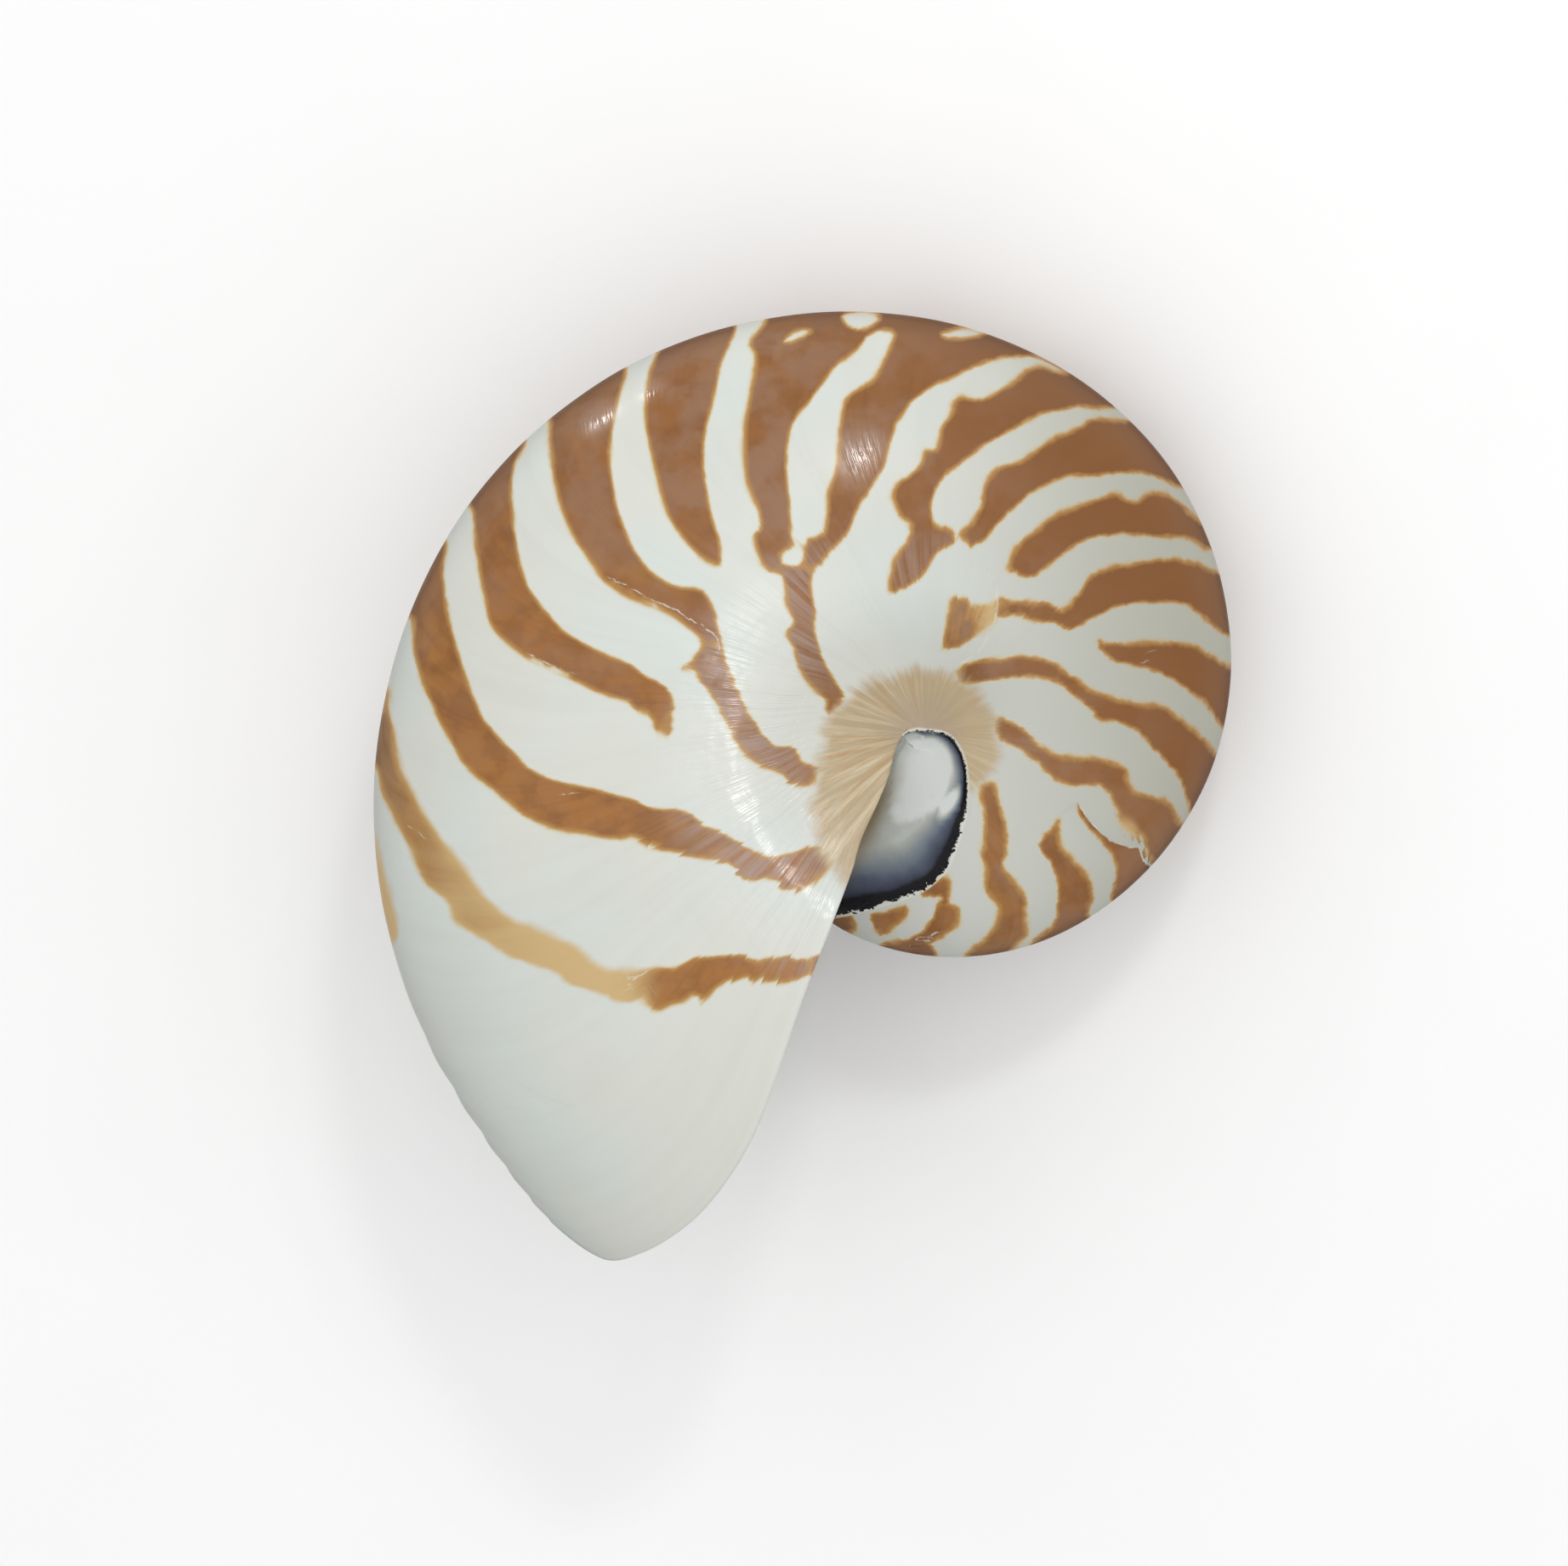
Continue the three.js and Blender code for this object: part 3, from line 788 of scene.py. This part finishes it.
def trait_fields(surface):
    """What each point shows, as one array for each name."""
    places = surface.places
    region, done, back = [surface.traits[name] for name in ("region", "done", "back")]
    half = places[:, 2]
    spots = photo_pixels(np.stack([places[:, 0], places[:, 1], np.abs(half)], -1))
    stripe_spots = strayed(spots, smoothstep(-half, 2, 15))
    outer = (region == OUTSIDE) | (region == RIM)
    on_this_side = outer & (half > 0)
    early = outer & (done < EARLY)
    floor = region == FLOOR

    stripe, owner, outward = stripe_edges(stripe_spots, early)
    from_axis = stripe_spots - AXIS_PIXEL
    from_axis /= np.maximum(np.hypot(*from_axis.T), 1)[:, None]
    break_side, _ = side_of_line(stripe_spots, SCARS["break"][1])
    scar, scar_strength, worn = scar_field(spots)
    rays = ray_coordinates(spots)

    film = np.where(early, depth_inside(spots, FILM), -FAR_AWAY)
    light = np.where(floor, smoothstep(back, *FLOOR_LIGHTENS), film_light(spots, film))
    film = np.where(floor, np.maximum((back - FLOOR_FILM) * DEGREE, -FAR_AWAY), film)
    inside = (region == CHAMBER_WALL) | (region == SEPTUM) | (floor & (back > FLOOR_NACRE))
    return {
        "stripe": np.where(outer | floor, stripe, -FAR_AWAY),
        "keelward": (outward * from_axis).sum(1),
        "newer": outward[:, 0] * from_axis[:, 1] - outward[:, 1] * from_axis[:, 0],
        "pale": paleness(stripe_spots, owner),
        "cut": np.where(owned_by(owner, "low_right_1"), break_side, FAR_AWAY),
        "callus": np.where(outer, depth_inside(spots, CALLUS), -FAR_AWAY),
        "ray_middle": 1 - smoothstep(rays[:, 1], 2, 9),
        "fresh": 0.5 - 0.5 * np.sin(rays[:, 0] / RAY_CIRCLE + 0.6),
        "film": film,
        "light": light,
        "ledge": np.where(early & (film > -3), film, -FAR_AWAY),
        "granular": smoothstep(spots[:, 1], 920, 1010),
        # painted shade and reflection of the lip on the film
        "lip_shade": soft_spot(spots, *LIP_SHADE_BAND),
        "nacre": inside.astype(float),
        "combed": on_this_side * strongest(spots, COMBED),
        "speck": on_this_side * strongest(spots, SPECKS),
        "scar": scar,
        "scarred": on_this_side * scar_strength,
        "worn": on_this_side * worn,
        **tone_fields(surface),
    }


def relief(surface, fields):
    """How far each point is raised, in mm."""
    places = surface.places
    region, done, age = [surface.traits[name] for name in ("region", "done", "age")]
    reach = reach_of(places)
    deep = 1 - smoothstep(photo_pixels(places)[:, 1], *LEDGE_FADE)
    raised = -LEDGE_DROP * smoothstep(fields["film"], 0, 0.5) * deep * (done < EARLY)
    side = fields["scar"]
    dropped = smoothstep(side, -0.2, 0.2) * np.exp(-np.maximum(side, 0) / 4)
    raised -= SCAR_DROP * dropped * fields["scarred"]
    swell = np.sin(age / 7.3 + 0.6 * np.sin(age / 17)) + 0.6 * np.sin(age / 3.1 + 1)
    raised += SWELL_HEIGHT * (swell - 1.6) * smoothstep(reach, 8, 30)
    by_the_keel = (1 - smoothstep(np.abs(places[:, 2]), 6, 26)) * smoothstep(reach, 20, 50)
    scallop = 0.5 + 0.5 * np.sin(age / SCALLOP + 1.5 * np.sin(age / 9))
    raised -= SCALLOP_DEPTH * scallop * by_the_keel * smoothstep(done, 0.92, 0.96)
    return np.where(region == OUTSIDE, raised, 0)


# From the coil's frame to the part's

def lying():
    """The turn that lays the coil down on its far flank."""
    tilt, towards = np.radians(REST_TILT), np.radians(REST_TOWARDS)
    down = Vector((np.sin(tilt) * np.cos(towards), np.sin(tilt) * np.sin(towards), -np.cos(tilt)))
    return down.rotation_difference(Vector((0, 0, -1)))


def turned_down(places):
    return places @ np.array(lying().to_matrix()).T


def place_of_axis(places):
    """Where the coil's own origin comes to lie, in mm, so that the shell fills the solid's box."""
    turned = turned_down(places)
    low, high = [np.array(corner) / MM for corner in cad_box]
    place = (low + high - turned.min(0) - turned.max(0)) / 2
    place[2] = INSET - REST_WEAR - turned[:, 2].min()
    return place


def laid(places):
    """Points of the coil's frame in the part's, in metres."""
    return (turned_down(places) + axis_place) * MM


def ray_coordinates(spots):
    """Place around the middle of the callus and distance from it, in mm, for lines that run outwards."""
    x, y = (spots - RAY_MIDDLE).T
    return np.stack([RAY_CIRCLE * np.arctan2(x, -y), np.hypot(x, y) * PIXEL, np.zeros(len(spots))], -1)


def growth_coordinates(surface):
    """Age and distance from the keel of each point, in mm, for lines that follow the shell's growth."""
    half = surface.places[:, 2]
    age = surface.traits["age"]
    keel = np.maximum(SPIRAL_RATE * age, 1)
    from_keel = np.sign(half) * np.hypot(keel - reach_of(surface.places), half)
    return np.stack([age, from_keel, np.zeros(len(half))], -1)


def new_object(name, data):
    """An object in the scene."""
    made = bpy.data.objects.new(name, data)
    bpy.context.scene.collection.objects.link(made)
    return made


def make_shell(surface):
    """The shell's object, with its traits as attributes of the mesh, and the traits by name."""
    fields = trait_fields(surface)
    vectors = {"growth": growth_coordinates(surface), "rays": ray_coordinates(photo_pixels(surface.places))}
    places = surface.places + normals_of(surface.places, surface.faces) * relief(surface, fields)[:, None]
    places = laid(places)
    places[:, 2] = np.maximum(places[:, 2], 0)
    mesh = bpy.data.meshes.new("nautilus_shell")
    mesh.from_pydata(places.tolist(), [], surface.faces)
    mesh.polygons.foreach_set("use_smooth", np.ones(len(mesh.polygons), bool))
    for name, values in fields.items():
        mesh.attributes.new(name, "FLOAT", "POINT").data.foreach_set("value", values.astype(np.float32))
    for name, values in vectors.items():
        made = mesh.attributes.new(name, "FLOAT_VECTOR", "POINT")
        made.data.foreach_set("vector", values.astype(np.float32).ravel())
    mesh.update()
    return new_object("nautilus_shell", mesh), fields


# Materials

class Value:
    """A number or colour that one of the nodes gives, ready for sums."""

    def __init__(self, graph, socket):
        self.graph = graph
        self.socket = socket

    def __add__(self, other):
        return self.graph.math("ADD", self, other)

    def __sub__(self, other):
        return self.graph.math("SUBTRACT", self, other)

    def __rsub__(self, other):
        return self.graph.math("SUBTRACT", other, self)

    def __mul__(self, other):
        return self.graph.math("MULTIPLY", self, other)

    def __truediv__(self, other):
        return self.graph.math("DIVIDE", self, other)


class Graph:
    """The nodes of a material, or of the world, made and joined by short calls."""

    def __init__(self, owner):
        self.owner = owner
        owner.use_nodes = True
        self.tree = owner.node_tree
        self.tree.nodes.clear()

    def node(self, kind, inputs, output=0, **settings):
        made = self.tree.nodes.new("ShaderNode" + kind)
        for name, value in settings.items():
            setattr(made, name, value)
        for key, value in inputs.items():
            if isinstance(value, Value):
                self.tree.links.new(value.socket, made.inputs[key])
            else:
                made.inputs[key].default_value = value
        return Value(self, made.outputs[output])

    def show(self, value, kind):
        """Sends the finished shader to the output node of its kind."""
        self.tree.links.new(value.socket, self.tree.nodes.new("ShaderNode" + kind).inputs[0])

    def fields(self, *names):
        """The mesh's attributes of these names."""
        return [self.node("Attribute", {}, 2, attribute_name=name) for name in names]

    def field(self, name):
        return self.fields(name)[0]

    def math(self, operation, a, b=0.0):
        return self.node("Math", {0: a, 1: b}, operation=operation)

    def step(self, value, low, high):
        """0 at low, 1 at high, and smooth between them."""
        inputs = {"Value": value, "From Min": low, "From Max": high}
        return self.node("MapRange", inputs, interpolation_type="SMOOTHSTEP")

    def band(self, value, start, risen, falling, end):
        """1 between risen and falling, and 0 before the start and after the end."""
        return self.step(value, start, risen) * self.step(value, end, falling)

    def mix(self, share, a, b):
        """A colour on the way from a to b. Each is a value or red, green and blue."""
        a, b = [(*colour, 1) if isinstance(colour, tuple) else colour for colour in (a, b)]
        return self.node("Mix", {0: share, 6: a, 7: b}, 2, data_type="RGBA")

    def grown(self, line_to_line, along, detail=2.0, roughness=0.5, lines="growth"):
        """Noise drawn out along the growth lines, or the rays, with its sizes across and along in mm."""
        coordinates = self.node("Attribute", {}, 1, attribute_name=lines)
        sizes = (1 / line_to_line, 1 / along, 1)
        stretched = self.node("VectorMath", {0: coordinates, 1: sizes}, operation="MULTIPLY")
        inputs = {"Vector": stretched, "Scale": 1.0, "Detail": detail, "Roughness": roughness}
        return self.node("TexNoise", inputs)

    def even(self, size, detail=2.0):
        """Noise of one size in mm, the same in all directions."""
        coordinates = self.node("TexCoord", {}, 3)
        inputs = {"Vector": coordinates, "Scale": 1 / (size * MM), "Detail": detail}
        return self.node("TexNoise", inputs)

    def ramp(self, value, stops):
        made = self.tree.nodes.new("ShaderNodeValToRGB")
        self.tree.links.new(value.socket, made.inputs[0])
        elements = made.color_ramp.elements
        for element in list(elements)[1:]:
            elements.remove(element)
        elements[0].position, elements[0].color = stops[0][0], (*stops[0][1], 1)
        for place, colour in stops[1:]:
            elements.new(place).color = (*colour, 1)
        return Value(self, made.outputs[0])

    def finish(self, bump_height, **inputs):
        """The material with its surface. The bump's height is in mm."""
        bump = self.node("Bump", {"Height": bump_height, "Strength": 1.0, "Distance": MM})
        self.show(self.node("BsdfPrincipled", {"Normal": bump, **inputs}), "OutputMaterial")
        return self.owner


WHITE = (0.655, 0.665, 0.61)
WHITE_COOL = (0.63, 0.67, 0.635)
WHITE_SHADE = (0.58, 0.595, 0.545)
WHITE_OLD = (0.53, 0.545, 0.505)
# painted shade of the whites towards the right
WHITE_RIGHT_SHADE = (0.40, 0.395, 0.335)
# painted shade of the whites towards the keel
WHITE_LIMB_SHADE = (0.47, 0.49, 0.46)
PALE_YELLOW = (0.61, 0.52, 0.33)
AMBER = (0.43, 0.228, 0.065)
# painted shade of the stripes' amber edges towards the right
AMBER_RIGHT_SHADE = (0.30, 0.16, 0.055)
BROWN = (0.268, 0.114, 0.038)
BROWN_WARM = (0.366, 0.157, 0.045)
BROWN_DARK = (0.19, 0.079, 0.028)
# painted shade of the browns towards the keel
BROWN_LIMB_SHADE = (0.09, 0.035, 0.012)
# painted reflection: a grey haze on the browns
BROWN_REFLECTED_HAZE = (0.295, 0.174, 0.113)
# painted highlight streaks on the browns
BROWN_STREAK_HIGHLIGHT = (0.36, 0.25, 0.20)
GOLDEN = (0.39, 0.19, 0.045)
TAN = (0.59, 0.42, 0.2)
CALLUS_COLOUR = (0.47, 0.37, 0.235)
CALLUS_LIGHT = (0.63, 0.54, 0.38)
CALLUS_STREAK = (0.48, 0.29, 0.13)
CALLUS_SHADE = (0.40, 0.32, 0.24)
BLACK = (0.006, 0.006, 0.008)
NAVY = (0.040, 0.047, 0.072)
STEEL = (0.088, 0.108, 0.15)
BLUE_GREY = (0.195, 0.23, 0.25)
GREY_BEIGE = (0.375, 0.39, 0.365)
CREAM = (0.60, 0.625, 0.605)
FILM_SHADES = [
    (0.11, BLACK), (0.16, NAVY), (0.31, STEEL), (0.52, BLUE_GREY), (0.76, GREY_BEIGE), (1.0, CREAM),
]
# painted shade and reflection of the lip
OLIVE_LIP_SHADE = (0.25, 0.20, 0.11)
NACRE = (0.74, 0.74, 0.70)
NACRE_ROSE = (0.80, 0.64, 0.65)
NACRE_GREEN = (0.58, 0.76, 0.69)
# pale scar lines, partly their own colour and partly a painted highlight along their steps
SCAR_PALE_AND_GLINT = (0.72, 0.66, 0.58)
SPURT_LENGTH = 8  # mm of growth, about, between two jumps of a stripe's edge


def white_colour(graph):
    """Porcelain white with faint grey growth lines, greyer on the older part of the turn, with painted shade
    towards the keel and towards the right.
    """
    keel, old, right_shade = graph.fields("keel", "old", "right_shade")
    white = graph.mix(graph.step(graph.even(30), 0.4, 0.65), WHITE, WHITE_COOL)
    lines = graph.step(graph.grown(3.4, 90, 4.0, 0.6), 0.4, 0.75)
    clouds = graph.step(graph.even(18, 3.0), 0.4, 0.75)
    white = graph.mix(lines * 0.3 + clouds * 0.25, white, WHITE_SHADE)
    # painted shade towards the keel
    white = graph.mix(keel * 0.7, white, WHITE_LIMB_SHADE)
    white = graph.mix(old * 0.75, white, WHITE_OLD)
    # painted shade towards the right
    return graph.mix(right_shade, white, WHITE_RIGHT_SHADE)


def stripe_rise(graph):
    """How far into a stripe each point is: 0.4 on its outline, and full brown from 1.

    Noise and spurts of growth shift the pattern along the growth lines, which gives the stripes their teeth.
    """
    stripe, keelward, newer, pale = graph.fields("stripe", "keelward", "newer", "pale")
    shoulder, jumpy, old = graph.fields("shoulder", "jumpy", "old")
    ragged = shoulder * graph.step(graph.even(14), 0.42, 0.6)
    teeth = (graph.grown(3.5, 70, 4.0, 0.68) - 0.5) * (ragged * 1.6 + 0.6)
    broad_teeth = (graph.grown(9, 80, 3.0) - 0.5) * 1.6
    age = graph.node("SeparateXYZ", {0: graph.node("Attribute", {}, 1, attribute_name="growth")})
    jump = 0.5 - graph.math("FRACT", graph.grown(16, 60) * 3.0 + age / SPURT_LENGTH)
    slip = teeth + broad_teeth + jump * (jumpy * (newer * 0.35 + 0.75) + 0.08)
    crooked = (graph.even(1.9, 4.0) - 0.5) * (old * 0.9 + 0.4)
    depth = stripe + slip * keelward + crooked
    border = (newer * 0.25 + 1.15 + pale * (newer * -1.2 + 1.6)) * (graph.even(6) * 1.2 + 0.4)
    return depth / border + 0.4


def stripe_colours(graph, rise):
    """Brown with streaks along the growth lines and pale yellow to amber at its edges, with a painted grey
    reflection, painted highlight streaks, and painted shade towards the right and the keel.
    """
    warmth, brown_right_shade, keel, streak_highlight_band = graph.fields("warmth", "brown_right_shade", "keel", "streak_highlight_band")
    right_shade, pale = graph.fields("right_shade", "pale")
    brown = graph.mix(warmth, BROWN, BROWN_WARM)
    golden = graph.step(graph.grown(7, 25, 3.0), 0.48, 0.72)
    brown = graph.mix(golden * (warmth * 0.4 + 0.2), brown, GOLDEN)
    streaks = graph.step(graph.grown(2.2, 60, 5.0, 0.7), 0.42, 0.7)
    blotches = graph.step(graph.even(5, 6.0), 0.42, 0.62)
    # darker streaks and blotches, and painted shade towards the right
    dark = graph.math("MAXIMUM", streaks * 0.3 + blotches * 0.4, brown_right_shade * 0.75)
    brown = graph.mix(dark, brown, BROWN_DARK)
    # painted reflection: a grey haze where the stripes mirror the bright light above
    reflected_haze = graph.step(graph.even(7, 7.0), 0.4, 0.62)
    reflection_share = (warmth * -0.5 + 0.6) * (1 - brown_right_shade) * (1 - keel)
    brown = graph.mix(reflected_haze * reflection_share, brown, BROWN_REFLECTED_HAZE)
    # painted shade towards the keel
    brown = graph.mix(keel * 0.72, brown, BROWN_LIMB_SHADE)
    # painted highlight: pale streaks across the browns in the shoulder band
    highlight_streaks = graph.step(graph.grown(2.4, 40, 5.0, 0.7), 0.38, 0.62) * streak_highlight_band
    brown = graph.mix(highlight_streaks * 0.8, brown, BROWN_STREAK_HIGHLIGHT)
    edge = graph.mix(graph.step(rise, 0.0, 0.5), PALE_YELLOW, AMBER)
    # painted shade of the amber edges towards the right
    edge = graph.mix(right_shade * 0.55, edge, AMBER_RIGHT_SHADE)
    brown = graph.mix(graph.step(rise, 0.35, 1.0), edge, brown)
    fading = (graph.grown(3, 50, 4.0) - 0.5) * 0.5 + pale
    return graph.mix(graph.step(fading, 0.05, 1.0), brown, TAN)


def callus_share(graph):
    """How far the callus covers the stripes, with a feathered edge."""
    feather = (graph.grown(2.0, 30, 4.0, 0.65, "rays") - 0.5) * 5.0
    wander = (graph.even(5, 3.0) - 0.5) * 3.0
    return graph.step(graph.field("callus") + feather + wander, -1.4, 1.8)


def callus_colours(graph):
    """Beige, grey at its middle, with fine rays of cream and orange, strongest on the newest part."""
    fresh, middle = graph.fields("fresh", "ray_middle")
    cream = graph.step(graph.grown(0.9, 18, 4.0, 0.65, "rays"), 0.42, 0.66)
    beige = graph.mix(cream * (fresh * 0.8 + 0.2), CALLUS_COLOUR, CALLUS_LIGHT)
    orange = graph.step(graph.grown(1.5, 24, 5.0, 0.7, "rays"), 0.5, 0.68)
    beige = graph.mix(orange * (fresh * 0.6 + 0.3), beige, CALLUS_STREAK)
    return graph.mix(middle * 0.7, beige, CALLUS_SHADE)


def film_colours(graph):
    """Black at its edge, then navy and blue-grey, and creamy where it is thick, with an olive painted shade
    and reflection beside the lip.
    """
    light, lip_shade = graph.fields("light", "lip_shade")
    wisps = (graph.even(4, 3.0) * 0.24 - 0.12) * graph.step(light, 0, 0.3)
    return graph.mix(lip_shade, graph.ramp(light + wisps, FILM_SHADES), OLIVE_LIP_SHADE)


def nacre_colours(graph):
    rosy = graph.mix(graph.step(graph.grown(6, 30, 3.0), 0.45, 0.65), NACRE, NACRE_ROSE)
    return graph.mix(graph.step(graph.even(14), 0.45, 0.7) * 0.6, rosy, NACRE_GREEN)


def hairline_share(graph):
    """The pale line along each scar, a little crooked and broken up: partly the scars' own pale colour,
    partly a painted highlight along their steps.
    """
    scar, scarred = graph.fields("scar", "scarred")
    wobbly = scar + (graph.even(1.3, 4.0) - 0.5) * 0.9
    line = graph.band(wobbly, -0.2, -0.03, 0.03, 0.2) * graph.step(graph.even(1.9, 3.0), 0.4, 0.58)
    return line * graph.math("MINIMUM", scarred, 0.75)


def bump_height(graph, callus, film, granules):
    """Scratches, the callus's rays, the scars' steps and the film's granular fringe, in mm."""
    brushed, combed, scar, scarred, light = graph.fields("brushed", "combed", "scar", "scarred", "light")
    height = graph.grown(2.1, 60, 3.0, 0.6) * (brushed * 0.34 + 0.01)
    height = height + graph.grown(0.9, 6) * combed * 0.22
    height = height + graph.even(6) * brushed * 0.6 + graph.even(1.2) * 0.008
    height = height + graph.grown(0.8, 20, 3.0, 0.5, "rays") * callus * (1 - film) * 0.05
    height = height - graph.step(scar, -0.12, 0.12) * scarred * 0.07
    return height + granules * film * graph.step(light, 0.15, 0) * 0.35


def shell_material(name, **finish):
    """The whole colour pattern. The finish gives the gloss, which differs on the film and the nacre."""
    graph = Graph(bpy.data.materials.new(name))
    brushed, combed, scar, worn, nacre = graph.fields("brushed", "combed", "scar", "worn", "nacre")

    beside_scar = graph.band(scar, 0.0, 0.12, 0.4, 1.2) * graph.step(graph.even(2.5, 3.0), 0.3, 0.6)
    rise = stripe_rise(graph) - beside_scar * worn * 0.4
    shown = graph.step(rise, -0.28, 0.3) * graph.step(graph.field("cut"), -0.04, 0.06)
    colour = graph.mix(shown, white_colour(graph), stripe_colours(graph, rise))
    colour = graph.mix(graph.field("speck"), colour, BLUE_GREY)

    callus = callus_share(graph)
    colour = graph.mix(callus, colour, callus_colours(graph))
    white_edge = graph.band(graph.field("ledge"), -0.55, -0.3, -0.1, 0.15)
    colour = graph.mix(white_edge * 0.85, colour, WHITE)
    # pale scar lines, partly a painted highlight
    colour = graph.mix(hairline_share(graph), colour, SCAR_PALE_AND_GLINT)
    colour = graph.mix(nacre, colour, nacre_colours(graph))

    granules = graph.even(0.5, 3.0) - 0.5
    notches = (graph.even(1.4, 3.0) - 0.5) * graph.field("granular")
    film_edge = graph.field("film") + notches * 2.2 + granules * 1.5
    film = graph.step(film_edge, -0.08, 0.12) * (1 - nacre)
    colour = graph.mix(film, colour, film_colours(graph))

    roughness = 0.3 - brushed * 0.16 - combed * 0.22 + graph.even(3, 3.0) * 0.14
    facing = graph.node("LayerWeight", {"Blend": 0.5}, 1)
    gloss = (combed * 0.84 + brushed * 0.8 + 0.16) * (1 - graph.step(facing, 0.35, 0.8) * 0.92)
    looks = {"Base Color": colour, "Roughness": roughness, "Specular IOR Level": gloss, **finish}
    return graph.finish(bump_height(graph, callus, film, granules), **looks)


FINISHES = {
    "polished_shell": {},
    "film": {"Coat Weight": 0.1, "Coat Roughness": 0.1, "Specular IOR Level": 0.1},
    "nacre": {"Coat Weight": 0.8, "Coat Roughness": 0.12, "Thin Film Thickness": 420.0},
}


def dress(shell, fields):
    """The same colours all over, with a finish of their own on the film and inside the chamber."""
    for name, finish in FINISHES.items():
        shell.data.materials.append(shell_material(name, **finish))
    names = list(FINISHES)
    on_film = fields["film"] > -0.3
    kind = np.where(fields["nacre"] > 0, names.index("nacre"), np.where(on_film, names.index("film"), 0))
    faces = shell.data.polygons
    faces.foreach_set("material_index", [min(kind[list(face.vertices)]) for face in faces])


# The setting

FLOOR_HALF = 4.0
FLOOR_DARK, FLOOR_LIGHT = (0.93, 0.93, 0.93), (0.96, 0.96, 0.96)

# Each lamp's place in the coil's frame, its size in mm and its power in watts
LAMPS = {
    "shoulder": ((75, 440, 880), 110, 1.0),
    "top": ((180, 450, 850), 60, 0.22),
    "upper_left": ((-330, 480, -10), 60, 0.4),
    "upper_right": ((230, 540, 170), 50, 0.2),
}

# The soft light all around: where it is brightest, in the coil's frame, its strength there, the strength that
# it fades towards on the opposite side, and the least that it has
SKY_FROM = (0, -0.03, 1)
SKY_BRIGHT, SKY_DARK, SKY_LEAST = 1.28, -0.65, 0.1


def make_floor():
    graph = Graph(bpy.data.materials.new("pale_floor"))
    colour = graph.mix(graph.even(40), FLOOR_DARK, FLOOR_LIGHT)
    mesh = bpy.data.meshes.new("floor")
    corners = FLOOR_HALF * np.array([(-1, -1, 0), (1, -1, 0), (1, 1, 0), (-1, 1, 0)])
    mesh.from_pydata(corners.tolist(), [], [[0, 1, 2, 3]])
    mesh.materials.append(graph.finish(graph.even(1) * 0.02, **{"Base Color": colour, "Roughness": 0.7}))
    new_object("floor", mesh)


def in_part(place):
    """A place in the coil's frame, in mm, as a point of the part's frame."""
    return Vector(laid(np.array([place], float))[0])


def make_camera():
    data = bpy.data.cameras.new("camera")
    data.sensor_width = SENSOR
    data.lens = SENSOR * CAMERA_DISTANCE / (PHOTO_WIDTH * PIXEL)
    camera = new_object("camera", data)
    camera.location = in_part(camera_place())
    camera.rotation_mode = "QUATERNION"
    camera.rotation_quaternion = lying()
    bpy.context.scene.camera = camera


def make_lamp(name, place, size, power):
    data = bpy.data.lights.new(name, "AREA")
    data.shape = "DISK"
    data.size = size * MM
    data.energy = power
    lamp = new_object(name, data)
    lamp.location = in_part(place)
    aim = in_part((0, 0, 0)) - lamp.location
    lamp.rotation_mode = "QUATERNION"
    lamp.rotation_quaternion = aim.to_track_quat("-Z", "Y")


def make_sky():
    """White light, which fades from its bright side to the opposite one."""
    world = bpy.data.worlds.new("studio")
    graph = Graph(world)
    directions = {0: graph.node("TexCoord", {}), 1: lying() @ Vector(SKY_FROM).normalized()}
    facing = graph.node("VectorMath", directions, 1, operation="DOT_PRODUCT")
    strength = facing * ((SKY_BRIGHT - SKY_DARK) / 2) + (SKY_BRIGHT + SKY_DARK) / 2
    strength = graph.math("MAXIMUM", strength, SKY_LEAST)
    graph.show(graph.node("Background", {"Color": (1, 1, 1, 1), "Strength": strength}), "OutputWorld")
    bpy.context.scene.world = world


coil = build_coil()
axis_place = place_of_axis(coil.places)
make_camera()
make_floor()
make_sky()
for lamp_name, (lamp_place, lamp_size, lamp_power) in LAMPS.items():
    make_lamp(lamp_name, lamp_place, lamp_size, lamp_power)
bpy.context.scene.view_settings.view_transform = "Standard"

shell, shell_fields = make_shell(coil)
dress(shell, shell_fields)
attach(shell, "root")
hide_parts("shell")
